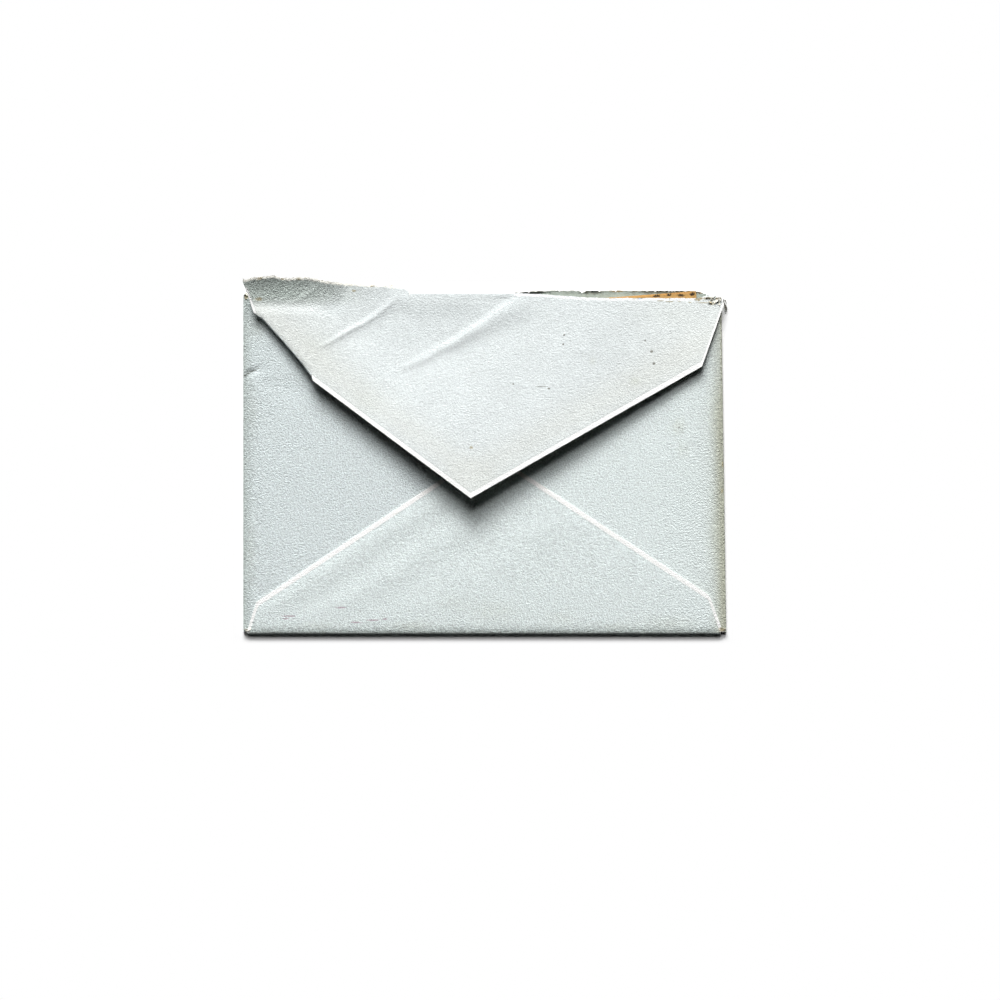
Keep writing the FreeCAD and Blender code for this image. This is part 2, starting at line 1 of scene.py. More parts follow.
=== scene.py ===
import bpy
import bmesh
import numpy as np
from math import cos, hypot, pi, radians, sin
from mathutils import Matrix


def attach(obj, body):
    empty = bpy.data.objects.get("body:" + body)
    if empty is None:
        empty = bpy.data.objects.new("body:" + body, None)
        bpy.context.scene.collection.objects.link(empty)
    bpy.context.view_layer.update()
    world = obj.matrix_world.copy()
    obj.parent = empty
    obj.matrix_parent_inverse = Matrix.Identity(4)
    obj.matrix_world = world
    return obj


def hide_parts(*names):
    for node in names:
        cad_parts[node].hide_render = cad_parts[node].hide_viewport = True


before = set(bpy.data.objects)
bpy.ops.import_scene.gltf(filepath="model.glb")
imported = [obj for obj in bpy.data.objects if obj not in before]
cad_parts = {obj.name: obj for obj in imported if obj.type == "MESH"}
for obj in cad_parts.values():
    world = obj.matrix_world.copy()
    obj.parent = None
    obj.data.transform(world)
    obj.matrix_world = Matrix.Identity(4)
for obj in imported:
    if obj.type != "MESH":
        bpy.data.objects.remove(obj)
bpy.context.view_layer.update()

MM = 0.001

# ---------------------------------------------------------------------------------------------
# The table, the camera over it and the light.
# A pale sheet of board lies under the envelope. Two soft lamps, a low bright one and a higher weak
# one, stand beyond the envelope's top edge, a little to the left. The camera looks straight down.

scene = bpy.context.scene
scene.view_settings.view_transform = "Standard"

VIEW_CENTRE = (4.45, -10.05)        # point of the table that the camera looks at, mm
VIEW_SIDE = 271.2                   # side of the square that it sees, mm
VIEW_HEIGHT = 1200.0
SENSOR = 36.0

lens = bpy.data.cameras.new("camera")
lens.sensor_width = SENSOR
lens.lens = SENSOR * VIEW_HEIGHT / VIEW_SIDE
lens.clip_start = 0.01
lens.clip_end = 20.0
camera = bpy.data.objects.new("camera", lens)
camera.location = (VIEW_CENTRE[0] * MM, VIEW_CENTRE[1] * MM, VIEW_HEIGHT * MM)
scene.collection.objects.link(camera)
scene.camera = camera


def add(tree, kind, inputs=None, **settings):
    """One shader node, with its settings and, for each input, a value or the output it takes."""
    made = tree.nodes.new("ShaderNode" + kind)
    for name, value in settings.items():
        setattr(made, name, value)
    for socket, value in (inputs or {}).items():
        if isinstance(value, bpy.types.NodeSocket):
            tree.links.new(value, made.inputs[socket])
        else:
            made.inputs[socket].default_value = value
    return made


def worked_out(tree, operation, *terms):
    """Result of an operation on terms that are outputs or numbers."""
    return add(tree, "Math", dict(enumerate(terms)), operation=operation).outputs[0]


def ranged(tree, source, start, end, low=0.0, high=1.0, kind="SMOOTHSTEP"):
    """Low where an output is at the start and high where it is at the end, smooth between."""
    return add(tree, "MapRange", {"Value": source, "From Min": start, "From Max": end,
                                  "To Min": low, "To Max": high},
               interpolation_type=kind).outputs[0]


def noise(tree, place, scale):
    """Clouds with two finer layers, by their number in a metre."""
    return add(tree, "TexNoise", {"Vector": place, "Scale": scale, "Detail": 2.0}).outputs[0]


def finish_of(name, mesh):
    """Gives a mesh a new material, and returns its node tree, which is still empty."""
    made = bpy.data.materials.new(name)
    made.use_nodes = True
    made.node_tree.nodes.clear()
    mesh.materials.append(made)
    return made.node_tree


def seen_directly(tree):
    """One for a ray from the camera, a mirror or a glass, and zero for the others."""
    path = add(tree, "LightPath").outputs
    first = worked_out(tree, "MAXIMUM", path["Is Camera Ray"], path["Is Glossy Ray"])
    return worked_out(tree, "MAXIMUM", first, path["Is Transmission Ray"])


WHITE = (1.0, 1.0, 1.0, 1.0)
FILL = 0.0015                       # share of light that comes from the room
world = bpy.data.worlds.new("room")
world.use_nodes = True
tree = world.node_tree
tree.nodes.clear()
dim = add(tree, "Background", {"Color": WHITE, "Strength": FILL})
white = add(tree, "Background", {"Color": WHITE, "Strength": 1.0})
mixed = add(tree, "MixShader", {0: seen_directly(tree), 1: dim.outputs[0], 2: white.outputs[0]})
add(tree, "OutputWorld", {0: mixed.outputs[0]})
scene.world = world

LAMP_AWAY = 6.0                     # distance of the lamps, m
LAMP_WIDE = 3.9                     # their width and their heights, m
LOW_TALL = 1.47
HIGH_TALL = 3.36
LEFT_ANGLE = 5.0                    # degrees to the left of the top edge's middle
LOW_ANGLE = 22.8                    # degrees above the table
HIGH_ANGLE = 36.4
LOW_LEVEL = 0.615                   # light on the table, as a share of what renders colours even
HIGH_LEVEL = 0.500


def lamp(name, tall, height_angle, level):
    """Lamp that faces the envelope from an angle above the table, giving this level there."""
    light = bpy.data.lights.new(name, "AREA")
    light.shape = "RECTANGLE"
    light.size = LAMP_WIDE
    light.size_y = tall
    light.energy = level * pi * pi * LAMP_AWAY ** 2 / sin(radians(height_angle))
    holder = bpy.data.objects.new(name, light)
    flat = LAMP_AWAY * cos(radians(height_angle))
    holder.location = (-flat * sin(radians(LEFT_ANGLE)), flat * cos(radians(LEFT_ANGLE)),
                       LAMP_AWAY * sin(radians(height_angle)))
    holder.rotation_euler = (-radians(90 - height_angle), 0, radians(LEFT_ANGLE))
    holder.visible_camera = False
    scene.collection.objects.link(holder)


lamp("low_lamp", LOW_TALL, LOW_ANGLE, LOW_LEVEL)
lamp("high_lamp", HIGH_TALL, HIGH_ANGLE, HIGH_LEVEL)

TABLE_SIDE = 4.0
TABLE_WHITE = (0.99, 0.99, 0.99, 1.0)
SHADOW_BOX = (0.0655, 0.0465)       # half sides of the envelope's outline, m
TABLE_FADE = (0.0009, 0.0028)       # distances outside it between which the board turns white, m
TABLE_TOOTH = 700.0                 # grains of the board in a metre
top = bpy.data.meshes.new("table_board")
reach = TABLE_SIDE / 2
top.from_pydata([(-reach, -reach, 0), (reach, -reach, 0), (reach, reach, 0), (-reach, reach, 0)],
                [], [(0, 1, 2, 3)])
board = bpy.data.objects.new("table_board", top)
scene.collection.objects.link(board)
tree = finish_of("white_board", top)
place = add(tree, "TexCoord").outputs["Object"]
side = add(tree, "VectorMath", {0: place}, operation="ABSOLUTE").outputs[0]
side = add(tree, "VectorMath", {0: side, 1: SHADOW_BOX + (0.0,)}, operation="SUBTRACT").outputs[0]
parts = add(tree, "SeparateXYZ", {0: side}).outputs
away = worked_out(tree, "MAXIMUM", parts[0], parts[1])
share = worked_out(tree, "MULTIPLY", ranged(tree, away, *TABLE_FADE), seen_directly(tree))
tooth = noise(tree, place, TABLE_TOOTH)
rise = add(tree, "Bump", {"Strength": 0.25, "Distance": 0.00006, "Height": tooth})
matt = add(tree, "BsdfDiffuse", {"Color": TABLE_WHITE, "Normal": rise.outputs[0]})
glow = add(tree, "Emission", {"Color": WHITE, "Strength": 1.0})
both = add(tree, "MixShader", {0: share, 1: matt.outputs[0], 2: glow.outputs[0]})
add(tree, "OutputMaterial", {"Surface": both.outputs[0]})

# ---------------------------------------------------------------------------------------------
# The address side, which lies on the table.
# The envelope is one sheet of pale blue paper. This is its middle panel, with the two side
# folds and the bottom fold at its edges. Its top edge is what the two tears left of the fold.

WIDTH = 130.2
HEIGHT = 92.1
PAPER = 0.14
SIDE_FOLD = 0.9
RIGHT_LEAN = 1.35
FOLD_STOP = 0.6                     # the side folds end this far short of the panel's corners
LEFT_LINE = SIDE_FOLD / 2 - WIDTH / 2
BOTTOM_LINE = -46.0
TOP_LINE = 45.4
TOP_EDGE = HEIGHT / 2
HEAD = HEIGHT / 2 - FOLD_STOP
FOOT = FOLD_STOP - HEIGHT / 2 - 0.3
HEAD_RIGHT = 44.2
DROOP = 0.25                        # the torn right corner falls back from the fold line
DROOP_FROM = 59.6
FOLD_START = -19.8                  # the whole stretch of the top fold, between the two tears
FOLD_END = 8.1
SLIT_END = 60.68                    # the slit ends beside the held right corner
HOLD_END = 63.68
NICK = 0.35                         # width of the steps between torn and whole edges
HORN = 3.0                          # torn horn at the head of the left fold
COLUMN_STEP = 0.8
FOLD_ROWS = 8
BOTTOM_LEFT = -64.1                 # left end of the bottom fold
FAR = 9.0                           # distance mark of a point far from every edge
TINY = 1e-4                         # slack in the choice of columns


def right_line(y):
    """X of the right fold's inner line: it leans outward evenly towards its foot."""
    return WIDTH / 2 - SIDE_FOLD / 2 - RIGHT_LEAN * y / HEIGHT


def fold_line(x):
    """Y of the top fold's inner line: straight, and falling evenly at the torn right corner."""
    return TOP_LINE - DROOP * np.clip(x - DROOP_FROM, 0, None)


def stations(stops, steps):
    """Places from the first stop to the last: every stop, and even steps between them."""
    steps = np.broadcast_to(steps, len(stops) - 1)
    runs = [np.linspace(a, b, max(1, round(abs(b - a) / step)) + 1)[:-1]
            for a, b, step in zip(stops, stops[1:], steps)]
    return np.append(np.concatenate(runs), stops[-1])


def halved(places):
    """The same places with one more in the middle of each gap."""
    middles = (places[1:] + places[:-1]) / 2
    return np.append(np.stack([places[:-1], middles], axis=-1).ravel(), places[-1])


def smooth(value, start, end):
    """Zero at start and one at end: three squares less two cubes of the share between."""
    share = np.clip((value - start) / (end - start), 0, 1)
    return share * share * (3 - 2 * share)


def ragged(place, rough):
    """Wander of a torn edge: a sum of five sine waves of unrelated lengths."""
    turn = 2 * pi * place / 7.3
    return rough * (0.34 * np.sin(turn) + 0.26 * np.sin(2.45 * turn + 1.3)
                    + 0.28 * np.sin(4.36 * turn + 0.4) + 0.26 * np.sin(7.1 * turn + 2.2)
                    + 0.16 * np.sin(8.7 * turn + 5.1))


def bell(distance, reach):
    """One at no distance, falling by an exponential of the square of the distance in reaches."""
    return np.exp(-(distance / reach) ** 2)


MARKS = ("cut", "torn", "rough", "clean")
sheet = {name: [] for name in ("points", "faces", "tint") + MARKS}


def add_grid(piece, points, turn=False):
    """Adds a grid (columns, rows, 3) of points in mm and its faces to a piece, and gives the
    numbers of its points. Turn swaps the side that faces out."""
    columns, rows = points.shape[:2]
    start = sum(len(part) for part in piece["points"])
    index = start + np.arange(columns * rows).reshape(columns, rows)
    corners = [index[:-1, :-1], index[1:, :-1], index[1:, 1:], index[:-1, 1:]]
    if turn:
        corners.reverse()
    piece["points"].append(points.reshape(-1, 3))
    piece["faces"] += np.stack(corners, axis=-1).reshape(-1, 4).tolist()
    return index


def lay(points, tint, cut=FAR, torn=FAR, rough=1.0, clean=0.0, turn=False):
    """Adds a grid of points to the sheet, with its colour, its distance from a cut and from a
    torn edge, its roughness and how clean its torn edge is."""
    sheet["tint"].append(np.broadcast_to(tint, points.shape).reshape(-1, 3))
    for name, mark in zip(MARKS, (cut, torn, rough, clean)):
        sheet[name].append(np.broadcast_to(mark, points.shape[:2]).reshape(-1))
    return add_grid(sheet, points, turn)


def grid(x, y, z):
    """Points (columns, rows, 3) from three arrays that share one shape."""
    return np.stack(np.broadcast_arrays(x, y, z), axis=-1)


# the strip that went with the flap leaves a torn edge below the top fold; its width by place
STRIP_PLACES = [(-65.3, 3.55), (-63.9, 3.5), (-62.2, 4.1), (-58.9, 4.35), (-57.3, 4.6),
                (-54.1, 3.95), (-49.2, 4.15), (-46.0, 4.0), (-42.7, 3.1), (-38.0, 2.75),
                (-34.5, 2.55), (-28.0, 2.3), (-21.7, 1.95), (-20.6, 1.2), (-19.9, 0.6)]
TORN_ROUGH = 0.24


def strip_width(x):
    """Width of the torn strip past the top fold: straight runs between places, plus wander."""
    places, widths = zip(*STRIP_PLACES)
    return np.interp(x, places, widths) + ragged(x, TORN_ROUGH)


def address_top(x):
    """Upper edge of the address side at x: the fold line, or the torn edge at the left."""
    torn = TOP_EDGE - strip_width(x)
    torn = np.where(x < LEFT_LINE + HORN,
                    torn + (HEAD - torn) * smooth(-x, -LEFT_LINE - HORN, -LEFT_LINE), torn)
    return np.where(x < FOLD_START - NICK / 2, torn, fold_line(x))


across = stations([LEFT_LINE, BOTTOM_LEFT, LEFT_LINE + HORN, -46.7, FOLD_START - 2 * NICK,
                   FOLD_START - NICK, FOLD_START, FOLD_END, FOLD_END + NICK, FOLD_END + 2 * NICK,
                   26.0, 27.4, SLIT_END - NICK, SLIT_END, HOLD_END, right_line(TOP_LINE)],
                  COLUMN_STEP)
share = (across - LEFT_LINE) / (right_line(TOP_LINE) - LEFT_LINE)
foot_x = LEFT_LINE + share * (right_line(BOTTOM_LINE) - LEFT_LINE)
foot_right = right_line(BOTTOM_LINE) + SIDE_FOLD / 2 - 1.0
low = np.interp(foot_x, [LEFT_LINE, BOTTOM_LEFT, foot_right, right_line(BOTTOM_LINE)],
                [FOOT, BOTTOM_LINE, BOTTOM_LINE, FOOT])
fine_x = halved(across)
fine_high = address_top(fine_x)
fine_high[[0, -1]] = HEAD, HEAD_RIGHT
high = fine_high[::2]
side_y = stations([FOOT, -37.0, 17.0, 22.5, 27.5, HEAD], [1.5, 3.2, 1.2, 0.35, 1.8])
rows = (side_y - FOOT) / (HEAD - FOOT)
y = low[:, None] + rows[None, :] * (high - low)[:, None]
x = LEFT_LINE + share[:, None] * (right_line(y) - LEFT_LINE)

SIDE_BLUE = np.array([0.718, 0.785, 0.788])
BODY_BLUE = np.array([0.772, 0.842, 0.833])
FOLD_DULL = np.array([0.500, 0.560, 0.535])
FOLD_YELLOW = np.array([0.600, 0.620, 0.560])
HAND_OLIVE = np.array([0.490, 0.505, 0.410])


def toned(base, other, amount):
    """Colour between two tones, by a share that is worked out for each point."""
    amount = np.clip(amount, 0, 1)[..., None]
    return base + (other - base) * amount


def stained_and_shaded(x, y, tint, tone, soft_patches):
    """Tint with soft patches, for stain and for painted shade (x, y, half length, half width,
    share): each one fades by a bell.
    """
    for spot_x, spot_y, long, wide, share in soft_patches:
        away = ((x - spot_x) / long) ** 2 + ((y - spot_y) / wide) ** 2
        tint = toned(tint, tone, share * np.exp(-away))
    return tint


edge = np.minimum(np.minimum(x - LEFT_LINE, right_line(y) - x), y - BOTTOM_LINE)
tint = toned(BODY_BLUE, FOLD_YELLOW, 0.75 * np.exp(-edge / 3.0))
torn_off = np.where(across < FOLD_START, 0.0, FAR)
torn = (high[:, None] - y) + torn_off[:, None]
index = lay(grid(x, y, 0 * x)[:, :-1], tint[:, :-1], torn=torn[:, :-1], turn=True)

# the last row has twice as many points, to meet the torn edge and the fold with finer steps
tint = toned(BODY_BLUE, FOLD_YELLOW, 0.3 * np.ones((len(fine_x), 1)))
torn = np.where(fine_x < FOLD_START, 0.0, FAR)[:, None]
top_x = np.where(fine_x > HOLD_END + TINY, right_line(fine_high), fine_x)
top_row = lay(grid(top_x[:, None], fine_high[:, None], 0.0), tint, torn=torn)[:, 0]
sheet["faces"] += np.stack([index[:-1, -1], top_row[:-2:2], top_row[1:-1:2], top_row[2::2],
                            index[1:, -1]], axis=-1).tolist()


def half_turn(first, last, outward, sweep):
    """Half ring between two rows of points: middle of the two, plus half their difference by the
    cosine, plus the outward direction by half their distance and the sine."""
    middle = (first + last)[:, None, :] / 2
    half = (first - last)[:, None, :] / 2
    size = np.linalg.norm(half, axis=-1, keepdims=True)
    return middle + half * np.cos(sweep)[:, None] + outward * size * np.sin(sweep)[:, None]


ring = np.linspace(0, pi, FOLD_ROWS + 1)
fold_y = {-1: side_y, 1: FOOT + rows * (HEAD_RIGHT - FOOT)}
fold_x = {-1: np.full_like(side_y, LEFT_LINE), 1: right_line(fold_y[1])}
for side in (-1, 1):
    upper = grid(fold_x[side], fold_y[side], SIDE_FOLD)
    lower = grid(fold_x[side], fold_y[side], 0.0)
    points = half_turn(lower, upper, np.array([side, 0.0, 0.0]), ring)
    lay(points, FOLD_DULL if side < 0 else HAND_OLIVE, rough=1.7, turn=side < 0)

# ---------------------------------------------------------------------------------------------
# The two side flaps, folded in over the letter.
# They are cut to blunt triangles that nearly meet in the middle. The pocket is a little swollen,
# so they rise from their folds. Their cut edges keep a narrow border without blue tint.

SWELL = 0.75
SIDE_MARGIN = 6.5
FOOT_MARGIN = 0.75                  # the back rises fast over this length above the bottom fold
FOOT_SHARE = 0.24                   # by this share of the swell, and slowly from there
FOOT_SLOW = 14.0
SIDE_COLUMNS = 34
SIDE_OUTLINE_Y = [FOOT, FOOT + 3.4, -2.0, HEAD - 3.4, HEAD]
SIDE_OUTLINE_IN = [1.5, 10.0, WIDTH / 2 - 3.5, 10.0, 1.5]
DROP_REACH = 8.0                    # the low foot of a crease rises again over this length


def swollen(x, y):
    """Height of the pocket's back: the fold height plus the swell times four margins. A side's
    and the top's are one less the square of the share that is left of the margin, and the
    bottom's is a fast and a slow rise, each one less an exponential."""
    sides = (1 - np.clip(1 - (x - LEFT_LINE) / SIDE_MARGIN, 0, 1) ** 2) \
        * (1 - np.clip(1 - (right_line(y) - x) / SIDE_MARGIN, 0, 1) ** 2)
    above = np.clip(y - BOTTOM_LINE, 0, None)
    foot = FOOT_SHARE * (1 - np.exp(-above / FOOT_MARGIN)) \
        + (1 - FOOT_SHARE) * (1 - np.exp(-above / FOOT_SLOW))
    head = 1 - np.clip(1 - (TOP_LINE - y) / SIDE_MARGIN, 0, 1) ** 2
    return SIDE_FOLD + SWELL * sides * foot * head


def crease(x, y, path, left_low=0.0, right_low=0.0, power=2.0):
    """Ridge along a path of (x, y, height, width to the left, width to the right): across the
    nearest run of the path it falls by an exponential of the distance in widths, squared at its
    left and to a power at its right. Each foot may lie lower by a share of the height, and rises
    from there slowly."""
    nearest = np.full(np.shape(x), np.inf)
    rise = np.zeros(np.shape(x))
    for first, last in zip(path, path[1:]):
        run_x, run_y = last[0] - first[0], last[1] - first[1]
        length = hypot(run_x, run_y)
        share = np.clip(((x - first[0]) * run_x + (y - first[1]) * run_y) / length ** 2, 0, 1)
        off_x = x - first[0] - share * run_x
        off_y = y - first[1] - share * run_y
        off = np.hypot(off_x, off_y)
        height, left, right = (first[k] + share * (last[k] - first[k]) for k in (2, 3, 4))
        on_left = off_y * run_x - off_x * run_y > 0
        low = np.where(on_left, left_low, right_low)
        fall = np.where(on_left, (off / left) ** 2, (off / right) ** power)
        far = off / np.where(on_left, DROP_REACH / 2, DROP_REACH)
        rise = np.where(off < nearest, height * ((1 + low) * np.exp(-fall) - low * np.exp(-far)),
                        rise)
        nearest = np.minimum(off, nearest)
    return rise


def left_relief(x, y):
    """Small creases of the left flap, in from its fold."""
    fold = [(-65.4, 23.3, 0.26, 0.4, 1.0), (-64.0, 24.5, 0.32, 0.4, 1.2),
            (-62.2, 25.2, 0.28, 0.45, 1.5), (-60.4, 26.2, 0.14, 0.6, 1.8),
            (-58.0, 28.2, 0.0, 1, 2.0)]
    nick = [(-65.0, 8.4, 0.10, 0.7, 0.5), (-62.5, 9.2, 0.07, 0.8, 0.5), (-60.4, 9.6, 0.0, 1, 0.5)]
    hollow = [(-63.0, 23.0, 0.0, 2.0, 2.0), (-58.0, 21.5, -0.10, 2.2, 2.0),
              (-52.0, 19.6, -0.14, 2.4, 2.6), (-46.0, 17.0, 0.0, 2.0, 2.4)]
    return crease(x, y, nick) - crease(x, y, fold) + crease(x, y, hollow)


def right_relief(x, y):
    """Small creases of the right flap."""
    low_line = [(49.0, -36.4, 0.0, 1, 1), (55.0, -35.0, 0.05, 1.2, 1.2), (60.0, -34.4, 0.0, 1, 1)]
    dent = [(40.0, 4.0, 0.0, 3, 3), (48.0, 9.0, -0.07, 3, 3), (56.0, 14.0, 0.0, 3, 3)]
    return crease(x, y, low_line) + crease(x, y, dent)


SMUDGE = np.array([0.560, 0.590, 0.480])
SIDE_SMUDGES = [
    (52.8, 10.0, 1.6, 1.1, 0.35), (54.1, 3.3, 1.3, 1.2, 0.25), (54.7, -1.4, 1.5, 1, 0.2),
    (-62.4, 14.0, 1.3, 6.0, 0.12), (-62.8, -24.0, 1.2, 8.0, 0.12), (62.4, 12.0, 1.4, 6.0, 0.25),
    (62.6, -20.0, 1.6, 9.0, 0.30), (-61.5, 37.0, 2.5, 3.0, 0.20), (57.0, -34.0, 3.5, 1.6, 0.15)]
SIDE_BORDER = 0.7                   # a border's distance mark, below one where the border is wider
reliefs = {-1: left_relief, 1: right_relief}
for side in (-1, 1):
    tip = np.interp(fold_y[side], SIDE_OUTLINE_Y, SIDE_OUTLINE_IN)
    cut_x = side * (WIDTH / 2 - tip)
    into = np.linspace(0, 1, SIDE_COLUMNS + 1) ** 1.3
    x = fold_x[side][:, None] + into[None, :] * (cut_x - fold_x[side])[:, None]
    y = np.broadcast_to(fold_y[side][:, None], x.shape)
    inward = np.abs(x - fold_x[side][:, None])
    z = swollen(x, y) + reliefs[side](x, y) * smooth(inward, 0, 1.0)
    if side < 0:
        amount = 0.5 * bell(inward, 1.8) + 0.16 * np.exp(-inward / 5.0)
        tint = toned(SIDE_BLUE, FOLD_DULL, amount)
    else:
        amount = 0.78 * bell(inward, 2.3) + 0.28 * np.exp(-inward / 4.5)
        amount = amount * (1 - 0.45 * smooth(y, 8.0, 30.0))
        tint = toned(BODY_BLUE, HAND_OLIVE, amount)
    tint = stained_and_shaded(x, y, tint, SMUDGE, SIDE_SMUDGES)
    cut = np.abs(cut_x[:, None] - x) * SIDE_BORDER
    rough = (1.15 if side < 0 else 1.0) + 0.7 * np.exp(-inward / 2.5)
    lay(grid(x, y, z), tint, cut=cut, rough=rough, turn=side < 0)

# ---------------------------------------------------------------------------------------------
# The bottom flap, folded up last and gummed over the side flaps.
# It is a triangle with cropped corners. Its slanting edges keep the white border that shows as
# two crossing lines on the pocket.

BOTTOM_ROWS = 31
EDGE_ROWS = 5                       # finer rows along the slanting edges
EDGE_ZONE = 1.7                     # and the width that they cover
STEEP_BORDER = 1.5                  # the same for the cropped corners, where it is narrower
BOTTOM_LIFT = PAPER + 0.01
EDGE_DROP = 0.13                    # the flap's face comes down this much to its gummed edges
BOTTOM_OUTLINE_X = [BOTTOM_LEFT, -61.6, -0.1, 1.7, 61.3, foot_right]
BOTTOM_OUTLINE_Y = [BOTTOM_LINE + 0.4, -37.72, 3.18, 3.25, -35.95, BOTTOM_LINE + 0.4]


def line_distance(x, y, start, end):
    """Distance of points from the straight line through two points."""
    run_x, run_y = end[0] - start[0], end[1] - start[1]
    return np.abs((y - start[1]) * run_x - (x - start[0]) * run_y) / hypot(run_x, run_y)


chosen = (foot_x > BOTTOM_LEFT - TINY) & (foot_x < foot_right + TINY)
bottom_x = foot_x[chosen]
bottom_high = np.interp(bottom_x, BOTTOM_OUTLINE_X, BOTTOM_OUTLINE_Y)
edge_zone = np.minimum(EDGE_ZONE, 0.3 * (bottom_high - BOTTOM_LINE))[:, None]
up = np.linspace(0, 1, BOTTOM_ROWS + 1) ** 1.6
y = BOTTOM_LINE + up[None, :] * ((bottom_high - BOTTOM_LINE)[:, None] - edge_zone)
y = np.append(y, bottom_high[:, None] - edge_zone * np.linspace(0.8, 0, EDGE_ROWS)[None, :], axis=1)
x = np.broadcast_to(bottom_x[:, None], y.shape)
inward = y - BOTTOM_LINE
bands = np.zeros_like(x)
for shift, depth in ((-31.0, 0.13), (-22.0, -0.104), (-13.0, 0.091), (-4.0, -0.065),
                     (14.0, 0.065)):
    offset = (x - shift) * 0.545 - (y + 22.0) * 0.838
    bands += depth * bell(offset, 3.6)
fade = smooth(inward, 2.0, 9.0) * smooth(bottom_high[:, None] - y, 0.0, 5.0)
corners = list(zip(BOTTOM_OUTLINE_X, BOTTOM_OUTLINE_Y))
left_cut = line_distance(x, y, corners[1], corners[2])
right_cut = line_distance(x, y, corners[4], corners[3])
steep = np.minimum(line_distance(x, y, corners[0], corners[1]),
                   line_distance(x, y, corners[5], corners[4]))
gummed = np.minimum(np.minimum(left_cut, right_cut), steep)
z = swollen(x, y) + BOTTOM_LIFT + bands * fade + EDGE_DROP * (1 - np.exp(-gummed / 0.8))
cut = np.minimum(np.minimum(left_cut, right_cut), steep * STEEP_BORDER)
amount = 0.45 * bell(inward, 2.0) + 0.45 * bell(inward, 0.9)
tint = toned(BODY_BLUE, FOLD_DULL, amount)
tint = toned(tint, HAND_OLIVE, 0.75 * bell(right_line(y) - x, 2.6))
tint = toned(tint, FOLD_DULL, 0.6 * bell(x - LEFT_LINE, 2.6))
tint = stained_and_shaded(x, y, tint, SMUDGE, [
    (2.8, -40.2, 6.5, 2.6, 0.16), (-19.7, -44.2, 5.0, 1.2, 0.22), (20.7, -42.0, 4.0, 2.0, 0.14),
    (50.0, -43.5, 7.0, 2.0, 0.20), (36.0, -44.4, 4.0, 1.0, 0.16), (-8.0, -38.0, 4.0, 2.0, 0.10),
    (-45.0, -44.2, 4.0, 1.0, 0.12)])
lay(grid(x, y, z), tint, cut=cut, rough=1.0 + 0.6 * np.exp(-inward / 2.5))

upper = grid(bottom_x, BOTTOM_LINE, z[:, 0])
lower = grid(bottom_x, BOTTOM_LINE, 0.0)
points = half_turn(upper, lower, np.array([0.0, -0.6, 0.0]), ring)
lay(points, FOLD_DULL, rough=1.6, turn=True)

# ---------------------------------------------------------------------------------------------
# The top flap, sprung up from the pocket.
# Its fold was torn open: only a short stretch and the right corner still hold it. At the left a
# strip of the address side came off with it and curls up. It is creased where it was pulled.

FLAP_ROWS = 74
FOLD_HEIGHT = 1.3
FLAP_SLOPE = 0.087
TIP_SAG = 0.00035                   # drop by the square of the distance past SAG_START
SAG_START = 30.0
LEFT_LIFT = 0.78                    # the left half's rise
CORNER_LIFT = 1.75                  # the turned corner's rise, which fades along the turned edge
LIFT_LENGTH = 42.0                  # by a share of this length
TAB_REACH = 6.6                     # how far the turned corner reaches in below the flap
TAB_APEX = 0.36                     # where it reaches farthest, as a share of the turned edge
TAB_ROWS = 8
TURNED_DROP = 0.75                  # how far below the flap it lies
TURN_START = (-62.17, 40.68)
TURN_BOW = [(-59.62, 39.19), (-53.93, 32.95), (-48.91, 27.12)]
TURN_END = (-46.5, 23.8)
LONG_START = (-46.23, 22.29)
LONG_MIDDLE = (-28.13, 8.78)
TIP = (-3.45, -9.55)
SHOULDER = (59.1, 26.1)
CORNER = (65.2, 43.2)
LEFT_CORNER = (-65.3, 49.6)
SLIT_BACK = 1.3                     # the slit's edge stands back from the top edge by this much
FOLD_OUT = 0.45                     # the whole fold leans out over the address side's top edge

flap_low_places = [LEFT_CORNER, TURN_START] + TURN_BOW \
    + [TURN_END, LONG_START, LONG_MIDDLE, TIP, SHOULDER, CORNER]
flap_x = np.concatenate([[-65.05, -64.85], fine_x, [64.35, 64.75, 65.12]])
corners_x = [TURN_START[0], TURN_END[0], LONG_START[0], TIP[0], SHOULDER[0]]
flap_x = np.unique(np.round(np.append(flap_x, corners_x), 5))


def flap_low(x):
    """Lower outline of the flap: straight cuts between its corners."""
    places, heights = zip(*flap_low_places)
    return np.interp(x, places, heights)


def flap_top(x):
    """Upper outline of the flap: torn strip, whole fold, slit edge and held corner."""
    strip = TOP_EDGE + strip_width(x)
    back = 0.1 + SLIT_BACK * smooth(x, FOLD_END, FOLD_END + 26) \
        * (1 - 0.4 * smooth(x, SLIT_END - 3, SLIT_END))
    slit = TOP_EDGE - back + ragged(x, TORN_ROUGH) / 2
    top = np.where(x < FOLD_START - NICK / 2, strip, fold_line(x) + FOLD_OUT)
    top = np.where((x > FOLD_END + NICK / 2) & (x < SLIT_END - NICK / 2), slit, top)
    held = np.interp(x, [HOLD_END, CORNER[0]], [fold_line(HOLD_END) + FOLD_OUT, CORNER[1]])
    return np.where(x > HOLD_END + TINY, held, top)


